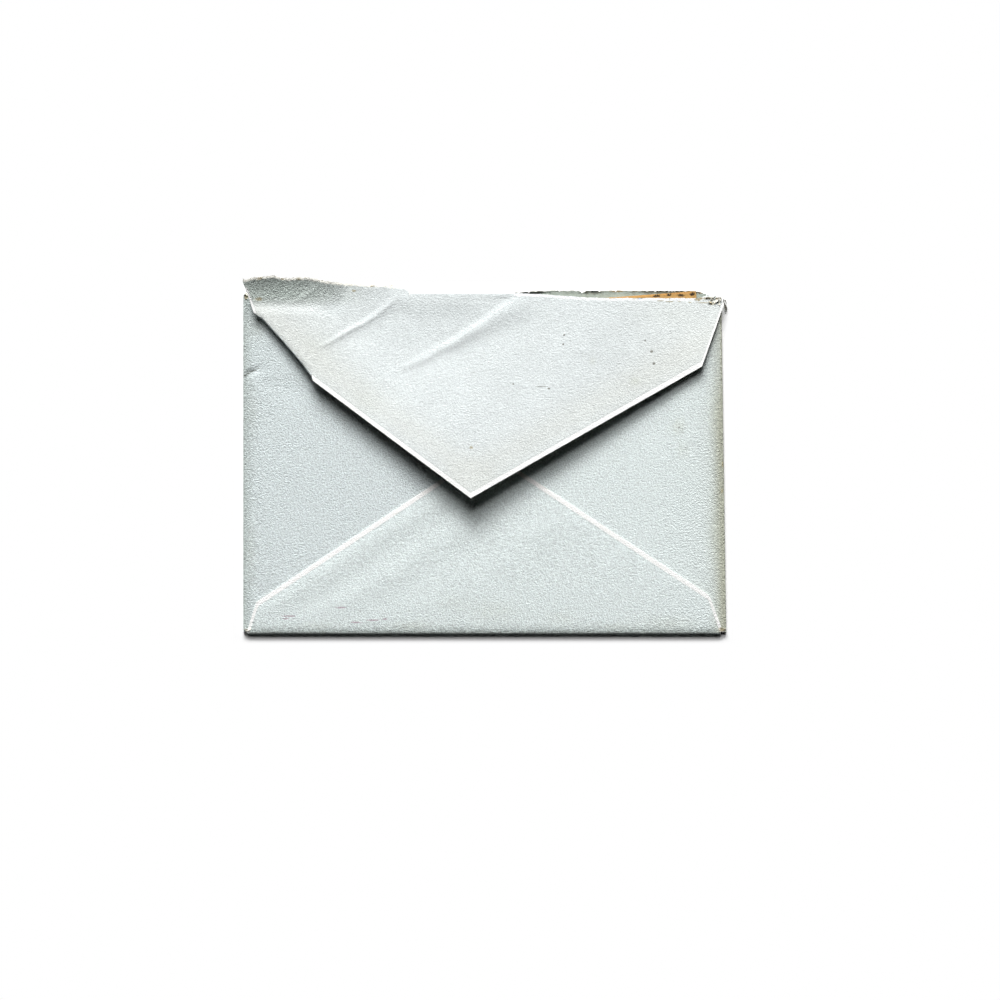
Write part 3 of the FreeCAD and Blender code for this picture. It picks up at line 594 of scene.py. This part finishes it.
RIDGE = [(-23.0, 25.4, 0.0, 1.0, 0.8), (-21.0, 26.0, 0.030, 1.0, 0.8),
         (-15.6, 28.3, 0.052, 1.0, 1.0), (-12.0, 30.7, 0.074, 1.0, 1.4),
         (-7.9, 32.7, 0.100, 1.05, 1.8), (-4.3, 35.1, 0.108, 1.1, 2.0),
         (-0.2, 37.5, 0.112, 1.1, 2.5), (3.8, 40.4, 0.106, 1.2, 3.3), (7.4, 42.8, 0.10, 1.3, 4.2),
         (10.0, 44.5, 0.08, 1.4, 5.0), (12.2, 45.8, 0.055, 1.5, 5.6)]
CREASE = [(-44.9, 30.7, 0.0, 0.6, 0.5), (-43.3, 31.6, 0.064, 0.6, 0.5),
          (-40.4, 33.2, 0.096, 0.6, 0.6), (-36.3, 35.7, 0.128, 0.7, 0.9),
          (-32.7, 37.5, 0.136, 0.7, 1.1), (-28.6, 40.2, 0.128, 0.8, 1.2),
          (-25.0, 43.1, 0.096, 1.0, 1.3), (-23.0, 45.5, 0.0, 1.0, 1.3)]
STRIP_CREASE = [(-54.0, 42.6, 0.0, 0.5, 0.6), (-51.2, 43.4, 0.07, 0.5, 0.7),
                (-47.5, 45.6, 0.126, 0.6, 0.7), (-44.9, 47.4, 0.084, 0.7, 0.7),
                (-43.2, 49.4, 0.0, 0.7, 0.7)]
STRIP_DENT = [(-47.8, 41.5, 0.0, 2.2, 0.8), (-44.0, 41.5, 0.10, 2.4, 1.5),
              (-40.4, 41.7, 0.12, 2.6, 1.7), (-37.7, 44.0, 0.117, 2.6, 0.7),
              (-36.2, 47.6, 0.104, 2.4, 0.7), (-35.6, 50.0, 0.078, 2.2, 0.7)]
BORDER_LINE = [(-46.0, 24.2, 0.0, 0.5, 0.5), (-44.6, 23.0, 0.05, 0.5, 0.6),
               (-41.6, 20.8, 0.03, 0.5, 0.6), (-38.8, 18.8, 0.0, 0.5, 0.5)]
FAINT_LINE = [(18.0, 30.2, 0.0, 0.8, 0.8), (25.0, 30.6, 0.03, 0.8, 0.8),
              (35.0, 29.8, 0.0, 0.8, 0.8)]


def flap_height(x, y):
    """Height of the flap's upper face: the fold height plus the slope by the distance from the
    fold, less a sag by a square, and flatter where the fold holds. The left half and the turned
    corner are lifted, the strip curls by a square, the turned edge is rounded off, and the right
    end and the slit's edge rise a little. Two waves cockle it, and the creases are added."""
    reach = TOP_LINE - y
    level = FOLD_START - 6.0        # the lift of the turned corner ends here
    height = FOLD_HEIGHT + FLAP_SLOPE * reach - TIP_SAG * np.clip(reach - SAG_START, 0, None) ** 2
    held = smooth(x, -34.0, -24.0) * (1 - smooth(x, -8.0, 2.0))
    height = height - (0.28 * smooth(reach, 0.3, 7.2) + 0.12 * smooth(reach, 6.0, 15.0)) * held
    height = height + LEFT_LIFT * smooth(reach, 4.0, 46.0) * (1 - smooth(x, -16.0, 8.0))
    run_x, run_y = TURN_END[0] - TURN_START[0], TURN_END[1] - TURN_START[1]
    length = hypot(run_x, run_y)
    along = ((x - TURN_START[0]) * run_x + (y - TURN_START[1]) * run_y) / length / LIFT_LENGTH
    inside = ((y - TURN_START[1]) * run_x - (x - TURN_START[0]) * run_y) / length
    fall = np.where(along > 0.75, 0.25 * (1 - np.clip((along - 0.75) / 0.5, 0, 1)) ** 2, 1 - along)
    height = height + CORNER_LIFT * fall * (1 - smooth(inside, TAB_REACH, 34.0)) \
        * (1 - smooth(x, level - 14.0, level))
    curled = 1 - 0.55 * smooth(x, -41.0, -35.4) - 0.45 * smooth(x, -35.4, -20.0)
    height = height + 0.030 * np.clip(3.1 - reach, 0, None) ** 2 * curled
    height = height - 0.25 * smooth(y, 39.8, 43.2) * (1 - smooth(x, -48.0, -42.0))
    past = along * LIFT_LENGTH
    rounded = np.clip(1 - inside / 1.9, 0, 1) ** 2 * smooth(past, -1.5, 1.5) \
        * (1 - smooth(past, 21.0, 24.0))
    height = height - 0.30 * rounded
    height = height + 0.25 * smooth(x, 46.0, 61.0) * smooth(reach, 1.0, 15.0)
    bow = smooth(x, FOLD_END + 6, FOLD_END + 27) \
        * (1 - smooth(x, SLIT_END - 27, SLIT_END - 6))
    height = height + 0.55 * bow * (1 - smooth(reach, 0, 34.0))
    cockle = 0.035 * np.sin(x / 2.9 + 0.6 * np.sin(y / 4.1)) * np.sin(y / 3.7 + 1.1)
    height = height + (cockle + crease(x, y, FAINT_LINE)) * smooth(reach, 1.0, 9.0)
    clear = np.where((x > FOLD_START - 1) & (x < FOLD_END + 1), smooth(reach, 0.0, 1.2), 1.0)
    fringe = np.clip(0.8 - (flap_top(x) - y), 0, None) * (x < FOLD_START)
    height = height - 0.30 * fringe ** 2
    return height + clear * (crease(x, y, RIDGE, 2.6, 3.9)
                             + crease(x, y, CREASE, 1.1, 2.3, 1.0)
                             + crease(x, y, STRIP_CREASE, 0.5, 0.5, 1.0)
                             - crease(x, y, STRIP_DENT) - crease(x, y, BORDER_LINE))


high = flap_top(flap_x)
low = flap_low(flap_x)
down = 1 - (1 - np.linspace(0, 1, FLAP_ROWS + 1)) ** 1.35
y = low[:, None] + down[None, :] * (high - low)[:, None]
x = np.broadcast_to(flap_x[:, None], y.shape)
z = flap_height(x, y)

# a factor above one makes the white border of an edge narrower, and one below makes it wider
left_cut = np.where(x < LONG_MIDDLE[0], line_distance(x, y, LONG_START, LONG_MIDDLE),
                    line_distance(x, y, LONG_MIDDLE, TIP))
left_cut = np.where(x < TURN_END[0], FAR, 1.05 * left_cut)
right_cut = 0.96 * line_distance(x, y, TIP, SHOULDER)
steep = np.minimum(line_distance(x, y, LEFT_CORNER, TURN_START) * 2.0 + 3 * (y > 47.6),
                   line_distance(x, y, SHOULDER, CORNER) * 2.2)
cut = np.minimum(np.minimum(left_cut, right_cut), steep)
open_edge = (flap_x < FOLD_START) | ((flap_x > FOLD_END) & (flap_x < SLIT_END))
torn = (high[:, None] - y) + np.where(open_edge, 0.0, FAR)[:, None]
FLAP_BLUE = np.array([0.700, 0.743, 0.743])
GUM_IN = 5.0                        # the gum lies this far in from the cut edges
GUM_WIDE = 4.5
GUM_YELLOW = np.array([0.690, 0.717, 0.692])
STRIP_GREY = np.array([0.485, 0.555, 0.505])
# painted shade of the flap, laid beside its crease and ridge and on the strip's dent
SHADE_BLUE = np.array([0.600, 0.645, 0.645])
gum = bell(line_distance(x, y, LONG_START, TIP) - GUM_IN, GUM_WIDE) \
    + bell(right_cut - GUM_IN, GUM_WIDE)
tint = toned(FLAP_BLUE, GUM_YELLOW, 0.7 * gum + 0.5 * (1 - smooth(x, -55.0, -25.0))
             + 0.35 * smooth(x, 25.0, 55.0))
stained = smooth(y, 41.5, 45.5) * (1 - smooth(x, -54.0, -26.0))
tint = toned(tint, STRIP_GREY, 0.75 * stained)
tint = stained_and_shaded(x, y, tint, SMUDGE, [
    (41.0, 22.0, 1.3, 1.0, 0.3), (29.5, 27.5, 0.9, 0.9, 0.25), (-33.0, 16.0, 5.0, 4.0, 0.12),
    (-45.0, 32.0, 5.0, 4.0, 0.10), (52.0, 40.0, 8.0, 3.0, 0.10)])
# painted shade beside the ridge and the crease, and on the dent of the strip
tint = stained_and_shaded(x, y, tint, SHADE_BLUE, [
    (-9.0, 41.0, 12.0, 3.4, 0.38), (-27.0, 37.4, 6.0, 3.5, 0.22), (-20.0, 33.5, 5.0, 4.0, 0.18),
    (-7.0, 29.5, 3.5, 2.4, 0.20), (-1.5, 33.0, 4.0, 2.6, 0.28), (4.5, 36.6, 4.5, 2.8, 0.30),
    (9.5, 40.2, 5.0, 3.0, 0.26), (-39.0, 41.5, 5.0, 2.0, 0.55)])
fresh = smooth(flap_x, FOLD_START, FOLD_END)[:, None]
lay(grid(x, y, z), tint, cut=cut, torn=torn, rough=0.72 + 0.8 * stained, clean=fresh)

for first, last in ((FOLD_START, FOLD_END), (SLIT_END, HOLD_END)):
    chosen = (flap_x > first - TINY) & (flap_x < last + TINY)
    upper = grid(flap_x[chosen], high[chosen], z[chosen, -1])
    lower = grid(flap_x[chosen], fold_line(flap_x[chosen]), 0.0)
    points = half_turn(upper, lower, np.array([0.0, 0.25, 0.0]), ring)
    lay(points, FLAP_BLUE, rough=0.8)

# the left corner is folded under along a slanting line, and its tip lies below the flap
chosen = (flap_x > TURN_START[0] - TINY) & (flap_x < TURN_END[0] + TINY)
turned = np.array(TURN_END) - np.array(TURN_START)
turned /= np.linalg.norm(turned)
inward = np.array([-turned[1], turned[0], 0.0])
upper = np.stack([flap_x[chosen], low[chosen], z[chosen, 0]], axis=-1)
lower = upper - np.array([0.0, 0.0, TURNED_DROP])
points = half_turn(upper, lower, -inward, ring)
lay(points, FLAP_BLUE, rough=0.7, turn=True)
share = (flap_x[chosen] - TURN_START[0]) / (TURN_END[0] - TURN_START[0])
width = TAB_REACH * np.minimum(share / TAB_APEX, (1 - share) / (1 - TAB_APEX))
reach_in = width[:, None] * np.linspace(0, 1, TAB_ROWS + 1)[None, :]
x = lower[:, None, 0] + inward[0] * reach_in
y = lower[:, None, 1] + inward[1] * reach_in
lay(grid(x, y, flap_height(x, y) - TURNED_DROP), FLAP_BLUE, rough=0.7, turn=True)

# ---------------------------------------------------------------------------------------------
# The torn edge of the address side along the slit.
# It was pulled up as the fold was torn open, and curls towards the flap, so that its inner face
# shows beside the letter as a dark line, darkened more by painted shade and painted shadow.

LIP_ROWS = 8
LIP_REACH = 1.42                    # from the fold line to the rim
LIP_PLACES = [(8.0, 0.08), (9.5, 0.40), (12.0, 0.52), (15.6, 0.50), (17.6, 0.18), (21.5, 0.12),
              (25.4, 0.16), (27.6, 0.46), (31.0, 0.42), (33.4, 0.12), (38.0, 0.10), (42.0, 0.26),
              (45.0, 0.42), (56.5, 0.44), (58.5, 0.30), (60.7, 0.08)]


def lip_rim(x):
    """Y of the curled edge's rim: its farthest reach, less a nick, lower ends and wander."""
    nick = 0.6 * np.clip(1 - np.abs(x - 26.7) / 0.9, 0, None)
    left = 0.5 * (1 - smooth(x, FOLD_END - 1, FOLD_END + 9))
    right = 0.85 * smooth(x, SLIT_END - 4, SLIT_END)
    return TOP_LINE + LIP_REACH - nick - left - right - np.abs(ragged(x + 3.1, TORN_ROUGH)) * 1.4


chosen = (fine_x > FOLD_END + NICK - TINY) & (fine_x < SLIT_END - NICK + TINY)
lip_x = fine_x[chosen]
root = fold_line(lip_x)
out = (lip_rim(lip_x) - root)[:, None] * np.linspace(0, 1, LIP_ROWS + 1)[None, :]
curl = np.interp(lip_x, *zip(*LIP_PLACES)) * (1 + 0.5 * ragged(1.7 * lip_x, 1.0))
points = grid(lip_x[:, None], root[:, None] + out, curl[:, None] * (out / LIP_REACH) ** 2.4)
lay(points, BODY_BLUE, torn=out[:, -1:] - out, turn=True)

# shreds of torn paper at both heads of the side folds; one of the right fold stands out
CREAM = np.array([0.90, 0.88, 0.78])
OCHRE = np.array([0.66, 0.57, 0.40])
# painted shade: the dark shreds are paper that stands in shadow
SHADE_DARK = np.array([0.13, 0.12, 0.10])
SHREDS = [
    (65.5, 41.4, 0.5, 3.0, 0.6, 93, 0.1, SHADE_DARK), (65.3, 44.1, 0.9, 1.2, 0.4, -62, 0.1, SHADE_DARK),
    (60.2, 44.9, 1.6, 1.9, 0.5, -14, 0.2, OCHRE), (61.4, 44.2, 1.65, 1.8, 0.7, 24, 0.2, CREAM),
    (62.4, 43.3, 1.65, 1.7, 0.7, 46, 0.3, CREAM), (62.8, 44.6, 1.6, 1.3, 0.6, 4, 0.2, OCHRE),
    (63.9, 42.7, 1.6, 1.6, 0.6, 82, 0.3, CREAM), (61.8, 43.3, 1.7, 1.1, 0.4, 150, 0.2, OCHRE),
    (63.8, 43.9, 1.6, 1.1, 0.5, 60, 0.2, CREAM), (-64.1, 45.2, 1.0, 1.0, 0.7, 165, 0.1, SHADE_DARK),
    (-63.9, 45.3, 1.1, 1.1, 0.6, 130, 0.2, CREAM),
    (-64.3, 44.4, 1.0, 0.8, 0.5, 120, 0.1, OCHRE),
    (-63.6, -45.6, 1.1, 1.3, 0.6, 160, 0.2, CREAM),
    (-62.9, -45.0, 1.2, 1.2, 0.3, 200, 0.2, CREAM), (64.9, -45.4, 1.0, 0.8, 0.6, 30, 0.1, OCHRE)]
SHRED_COLUMNS = 9
SHRED_ROWS = 4
length_share = np.linspace(0, 1, SHRED_COLUMNS)[:, None]
width_share = np.linspace(-0.5, 0.5, SHRED_ROWS + 1)[None, :]
for start_x, start_y, start_z, length, width, degrees, rise, tone in SHREDS:
    # a narrow strip with a wavy outline: it tapers to its end and rises by the square
    angle = radians(degrees)
    wave = 1 + 0.25 * np.sin(9 * length_share + degrees)
    narrow = width * (1 - 0.75 * length_share ** 2) * wave
    along = length * length_share + 0.12 * np.sin(8 * width_share + degrees)
    off = narrow * width_share + 0.1 * length * np.sin(3 * length_share + degrees)
    points = grid(start_x + along * cos(angle) - off * sin(angle),
                  start_y + along * sin(angle) + off * cos(angle),
                  start_z + rise * length_share ** 2 + 0.12 * np.cos(4 * width_share + degrees))
    lay(points, tone, rough=1.6)

# ---------------------------------------------------------------------------------------------
# Joining the sheet and giving it its thickness and its three finishes.
# The outer side is tinted blue, with white borders at the cuts and torn fibres at the tears. The
# inner side is dark as painted shade, and the thickness of the paper shows white.

MERGE = 2e-6                        # points nearer than this become one, m


def paper_piece(name, parts, thickness, inner=0, rim=0):
    """Object of a sheet: its grids joined where they meet, with a thickness below. Its open
    edges, which only one face has, shade flat. Inner and rim are the numbers of the finishes of
    its other side and of its thickness."""
    mesh = bpy.data.meshes.new(name)
    mesh.from_pydata((np.concatenate(parts["points"]) * MM).tolist(), [], parts["faces"])
    for mark in list(parts)[2:]:    # all but the points and the faces
        kind, field = ("FLOAT_COLOR", "color") if mark == "tint" else ("FLOAT", "value")
        values = np.concatenate(parts[mark])
        if mark == "tint":
            values = np.column_stack([values, np.ones(len(values))])
        held = mesh.attributes.new(mark, kind, "POINT")
        held.data.foreach_set(field, values.astype(np.float32).ravel())
    work = bmesh.new()
    work.from_mesh(mesh)
    bmesh.ops.remove_doubles(work, verts=work.verts, dist=MERGE)
    work.to_mesh(mesh)
    work.free()
    mesh.shade_smooth()
    edge_of_corner = np.empty(len(mesh.loops), dtype=np.int32)
    mesh.loops.foreach_get("edge_index", edge_of_corner)
    faces_at = np.bincount(edge_of_corner, minlength=len(mesh.edges))
    sharp = mesh.attributes.new("sharp_edge", "BOOLEAN", "EDGE")
    sharp.data.foreach_set("value", faces_at == 1)
    piece = bpy.data.objects.new(name, mesh)
    scene.collection.objects.link(piece)
    wall = piece.modifiers.new("paper thickness", "SOLIDIFY")
    wall.thickness = thickness * MM
    wall.offset = -1.0
    wall.material_offset = inner
    wall.material_offset_rim = rim
    return piece


envelope = paper_piece("envelope_sheet", sheet, PAPER, inner=1, rim=2)

BORDER = 1.2                        # distance mark at which the white border ends
BORDER_WHITE = (0.93, 0.93, 0.915, 1.0)
TORN_CREAM = (0.88, 0.87, 0.80, 1.0)
TORN_WHITE = (0.90, 0.92, 0.93, 1.0)
TORN_OCHRE = (0.42, 0.37, 0.26, 1.0)
# the inner side's tones are dark as painted shade, for the shade inside the pocket
INNER_SHADE_TONES = ((0.27, 0.32, 0.285, 1.0), (0.55, 0.605, 0.54, 1.0))
EDGE_TONES = ((0.80, 0.78, 0.72, 1.0), (0.92, 0.91, 0.87, 1.0))


def paper_grain(tree, soft, fine, height, rough=1.0):
    """Places on a paper, its soft clouds and its fine fibres by their number in a metre, and its
    tooth: a bump by the sum of the two, times the roughness."""
    place = add(tree, "TexCoord").outputs["Object"]
    clouds = add(tree, "TexNoise", {"Vector": place, "Scale": soft, "Detail": 3.0,
                                    "Roughness": 0.6}).outputs[0]
    fibres = noise(tree, place, fine)
    total = worked_out(tree, "MULTIPLY", worked_out(tree, "ADD", fibres, clouds), rough)
    bump = add(tree, "Bump", {"Strength": 1.0, "Distance": height, "Height": total})
    return place, clouds, fibres, bump.outputs[0]


def wander_of(tree, source, size):
    """An output that runs from zero to one, spread over a size about zero."""
    return worked_out(tree, "MULTIPLY_ADD", source, size, -size / 2)


def blended(tree, share, first, second):
    """Colour between two, each an output or fixed, by a share."""
    return add(tree, "Mix", {0: share, 6: first, 7: second}, data_type="RGBA").outputs[2]


def paper_skin(tree, colour, normal, rough, shine):
    """Ends a paper's node tree with its matt surface."""
    skin = add(tree, "BsdfPrincipled", {"Base Color": colour, "Normal": normal,
                                        "Roughness": rough, "Specular IOR Level": shine})
    add(tree, "OutputMaterial", {"Surface": skin.outputs[0]})


# a mottled tint, painted shade in a line beside each white border, and blots in the torn fibres
tree = finish_of("outer_paper", envelope.data)
tint = add(tree, "Attribute", attribute_name="tint").outputs["Color"]
cut, torn, rough, clean = (add(tree, "Attribute", attribute_name=name).outputs["Fac"]
                           for name in MARKS)
place, clouds, fibres, normal = paper_grain(tree, 1900.0, 4200.0, 0.00021, rough)
mottle = worked_out(tree, "MULTIPLY_ADD", wander_of(tree, clouds, 0.9), rough, 1.0)
mottle = worked_out(tree, "ADD", mottle, wander_of(tree, noise(tree, place, 560.0), 0.14))
edge = worked_out(tree, "ADD", cut, wander_of(tree, fibres, 0.25))
# painted shade: the tint darkens in a thin line just inside each white border
line = ranged(tree, edge, BORDER + 0.12, BORDER + 0.5, 0.90, 1.0, "LINEAR")
for shade in (mottle, line):
    tint = add(tree, "VectorMath", {0: tint, "Scale": shade}, operation="SCALE").outputs[0]
border = ranged(tree, edge, BORDER + 0.06, BORDER - 0.06)
edge = worked_out(tree, "ADD", torn, wander_of(tree, clouds, 1.2))
blot = ranged(tree, noise(tree, place, 420.0), 0.60, 0.68, kind="LINEAR")
pulp = blended(tree, blot, blended(tree, clean, TORN_CREAM, TORN_WHITE), TORN_OCHRE)
finished = blended(tree, ranged(tree, edge, 0.95, 0.50),
                   blended(tree, border, tint, BORDER_WHITE), pulp)


def back_z(x, y):
    """Height of the bottom flap's face."""
    return float(swollen(x, y)) + BOTTOM_LIFT


def side_z(x, y):
    """Height of a side flap's face near its fold."""
    return float(swollen(x, y)) - 0.2


def flap_z(x, y):
    """Height of the top flap's face."""
    return float(flap_height(np.array(x), np.array(y)))


SPOT_DEEP = 0.5                     # half size of a spot across the paper, mm
SPOT_FADE = (1.3, 0.6)              # distances, in half sizes, at which a spot starts and is full


def spotted(tree, place, colour, edge, marks_by_tone):
    """The colour with marks of other tones, for stained spots, print and painted shade: each a
    tone, a share and its spots (x, y, half length, half width) by the face that they lie on. A mark
    steps up smoothly by the least distance from its spots' centres, counted in half sizes, plus
    the wander of its edge."""
    for tone, share, spots in marks_by_tone:
        least = FAR
        for height, places in spots.items():
            for x, y, long, wide in places:
                spot = add(tree, "Mapping", {
                    "Vector": place, "Location": (x * MM, y * MM, height(x, y) * MM),
                    "Scale": (long * MM, wide * MM, SPOT_DEEP * MM)}, vector_type="TEXTURE")
                away = add(tree, "VectorMath", {0: spot.outputs[0]}, operation="LENGTH")
                least = worked_out(tree, "MINIMUM", least, away.outputs[1])
        mask = ranged(tree, worked_out(tree, "ADD", least, edge), *SPOT_FADE, 0.0, share)
        colour = blended(tree, mask, colour, tone)
    return colour


# dark specks, ochre dirt, painted shade in the crease at the left, red-violet rubs and a touch of
# blue ink
finished = spotted(tree, place, finished, wander_of(tree, fibres, 1.8), [
    ((0.10, 0.09, 0.06, 1.0), 0.8, {flap_z: [
        (21.8, 34.6, 0.25, 0.25), (21.6, 32.1, 0.3, 0.25), (43.7, 33.1, 0.25, 0.25),
        (45.5, 30.1, 0.4, 0.35), (46.1, 26.9, 0.35, 0.35), (17.7, 20.1, 0.32, 0.24),
        (15.6, 20.6, 1.5, 0.10), (8.0, 21.3, 0.3, 0.2), (-43.6, 49.4, 0.3, 0.3),
        (-19.8, 46.2, 0.3, 0.4)]}),
    ((0.36, 0.30, 0.16, 1.0), 0.7, {flap_z: [
        (-60.8, 44.3, 0.9, 0.5), (-35.1, 46.6, 0.6, 0.3), (-3.3, 4.1, 0.5, 0.35),
        (-54.4, 49.7, 0.5, 0.3), (-50.0, 49.7, 0.6, 0.3), (47.9, 43.9, 0.9, 0.16),
        (50.4, 43.7, 1.0, 0.16), (53.0, 43.8, 0.5, 0.14), (56.0, 43.5, 0.5, 0.14),
        (59.4, 43.4, 1.6, 0.16), (61.9, 43.1, 1.0, 0.3)], back_z: [
        (64.4, -45.2, 0.7, 0.7), (64.9, -0.4, 0.4, 1.0), (64.6, -7.6, 0.3, 0.6),
        (-63.9, 45.0, 0.9, 0.5)]}),
    # painted shade in the crease at the left fold, and dark specks of the right flap
    ((0.13, 0.14, 0.12, 1.0), 0.8, {side_z: [
        (-64.6, 23.75, 0.5, 0.26), (-63.8, 24.25, 0.6, 0.26), (-62.9, 24.75, 0.6, 0.24),
        (-62.0, 25.1, 0.6, 0.18), (-61.1, 25.6, 0.5, 0.12)], back_z: [
        (53.0, 9.6, 0.3, 0.2), (53.9, 8.9, 0.2, 0.15), (54.8, 4.2, 0.2, 0.15)]}),
    ((0.42, 0.30, 0.36, 1.0), 0.75, {back_z: [
        (-38.6, -39.2, 1.4, 0.22), (-52.8, -41.5, 2.0, 0.2), (-53.6, -42.2, 0.9, 0.2),
        (-34.6, -43.2, 1.6, 0.2), (-30.0, -42.6, 1.8, 0.2), (-26.8, -42.3, 0.8, 0.2)]}),
    ((0.20, 0.36, 0.62, 1.0), 0.8, {flap_z: [(42.5, 44.5, 0.6, 0.13), (43.6, 44.7, 0.3, 0.12)]})])
paper_skin(tree, finished, normal, 0.85, 0.25)


def rim_z(x, y):
    """Height of the curled edge near its rim."""
    return 0.25


# the inner side is dark as painted shade: inside the pocket, in the slit and under the flap
tree = finish_of("inner_paper_shaded", envelope.data)
place, clouds, fibres, normal = paper_grain(tree, 800.0, 2600.0, 0.00008)
inner_shade_and_brown_bits = spotted(tree, place, blended(tree, clouds, *INNER_SHADE_TONES), wander_of(tree, clouds, 3.0), [
    # painted shadow: black patches under the rim, where it curls highest
    ((0.03, 0.035, 0.03, 1.0), 0.85, {rim_z: [
        (12.6, 46.1, 5.4, 0.46), (29.6, 46.5, 2.2, 0.26), (20.6, 46.6, 0.8, 0.16),
        (46.4, 46.6, 2.6, 0.24), (52.0, 46.6, 2.4, 0.20), (56.6, 46.6, 1.2, 0.18)]}),
    ((0.30, 0.19, 0.07, 1.0), 0.8, {rim_z: [
        (36.0, 46.55, 2.4, 0.24), (9.4, 45.9, 1.2, 0.2), (41.6, 46.6, 1.2, 0.16),
        (59.4, 46.2, 1.0, 0.3)]})])
paper_skin(tree, inner_shade_and_brown_bits, normal, 0.9, 0.2)

tree = finish_of("paper_edge", envelope.data)
place, clouds, fibres, normal = paper_grain(tree, 1500.0, 5000.0, 0.00005)
paper_skin(tree, blended(tree, clouds, *EDGE_TONES), normal, 0.95, 0.2)

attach(envelope, "root")
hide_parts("envelope")

# ---------------------------------------------------------------------------------------------
# The letter, a sheet of brown paper folded once along its lower edge.
# It lies askew in the pocket, and its bent upper corner shows in the slit.

LETTER_PAPER = 0.12
LETTER_FOLD = 0.32
LETTER_GAP = 0.02
LETTER_WIDTH = 112.0
LETTER_HEIGHT = 78.0
LETTER_TURN = radians(4.3)
LETTER_CORNER = (SLIT_END - 3.1, TOP_LINE + 1.18)
LETTER_BEND = 4.1                   # its upper end is bent up over this length
LETTER_RISE = 0.5
LETTER_TONES = ((0.62, 0.34, 0.10, 1.0), (0.83, 0.53, 0.205, 1.0))
LEAF_STEP = 0.8
LEAF_COLUMNS = 120
LEAF_ROWS = 44

bend_radius = (LETTER_BEND ** 2 + LETTER_RISE ** 2) / (2 * LETTER_RISE)
letter_parts = {"points": [], "faces": []}


def in_pocket(along, up, lift):
    """Points of the letter, from distances along its width and up its height that end at its
    upper right corner: turned, moved into place and lifted by a bend that is part of a circle."""
    x = LETTER_CORNER[0] + along * cos(LETTER_TURN) - up * sin(LETTER_TURN)
    y = LETTER_CORNER[1] + along * sin(LETTER_TURN) + up * cos(LETTER_TURN)
    bent = np.clip(y - LETTER_CORNER[1] + LETTER_BEND, 0, None)
    return grid(x, y, lift + bend_radius - np.sqrt(bend_radius ** 2 - bent ** 2))


base = PAPER + LETTER_GAP
along = np.linspace(-LETTER_WIDTH, -LEAF_STEP, LEAF_COLUMNS + 1)
up = -LETTER_HEIGHT + LETTER_HEIGHT * (1 - (1 - np.linspace(0, 1, LEAF_ROWS + 1)) ** 1.8)
upper_up = -LETTER_HEIGHT + (up + LETTER_HEIGHT) * (1 - LEAF_STEP / 2 / LETTER_HEIGHT)
add_grid(letter_parts, in_pocket(along[:, None], upper_up[None, :], base + LETTER_FOLD))
lower_along = np.append(along, 0.0)
add_grid(letter_parts, in_pocket(lower_along[:, None], up[None, :], base), turn=True)
foot_upper = in_pocket(along, upper_up[0], base + LETTER_FOLD)
foot_lower = in_pocket(along, up[0], base)
outward = np.array([sin(LETTER_TURN), -cos(LETTER_TURN), 0.0])
add_grid(letter_parts, half_turn(foot_upper, foot_lower, outward, ring), turn=True)
letter = paper_piece("letter_sheet", letter_parts, LETTER_PAPER)


def letter_z(x, y):
    """Height of the letter's upper face near its upper edge."""
    bent = y - LETTER_CORNER[1] + LETTER_BEND
    return base + LETTER_FOLD + bend_radius - (bend_radius ** 2 - bent ** 2) ** 0.5


# its print is cut off by the edge, so only dark touches of it show
tree = finish_of("letter_paper", letter.data)
place, clouds, fibres, normal = paper_grain(tree, 700.0, 2400.0, 0.00004)
marked = spotted(tree, place, blended(tree, clouds, *LETTER_TONES), wander_of(tree, fibres, 2.6), [
    ((0.03, 0.022, 0.02, 1.0), 0.95, {letter_z: [
        (46.9, 45.2, 0.85, 0.34), (50.2, 45.5, 0.65, 0.40), (53.4, 45.4, 0.85, 0.34),
        (56.5, 45.8, 0.6, 0.46)]})])
paper_skin(tree, marked, normal, 0.8, 0.3)

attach(letter, "root")
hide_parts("letter")
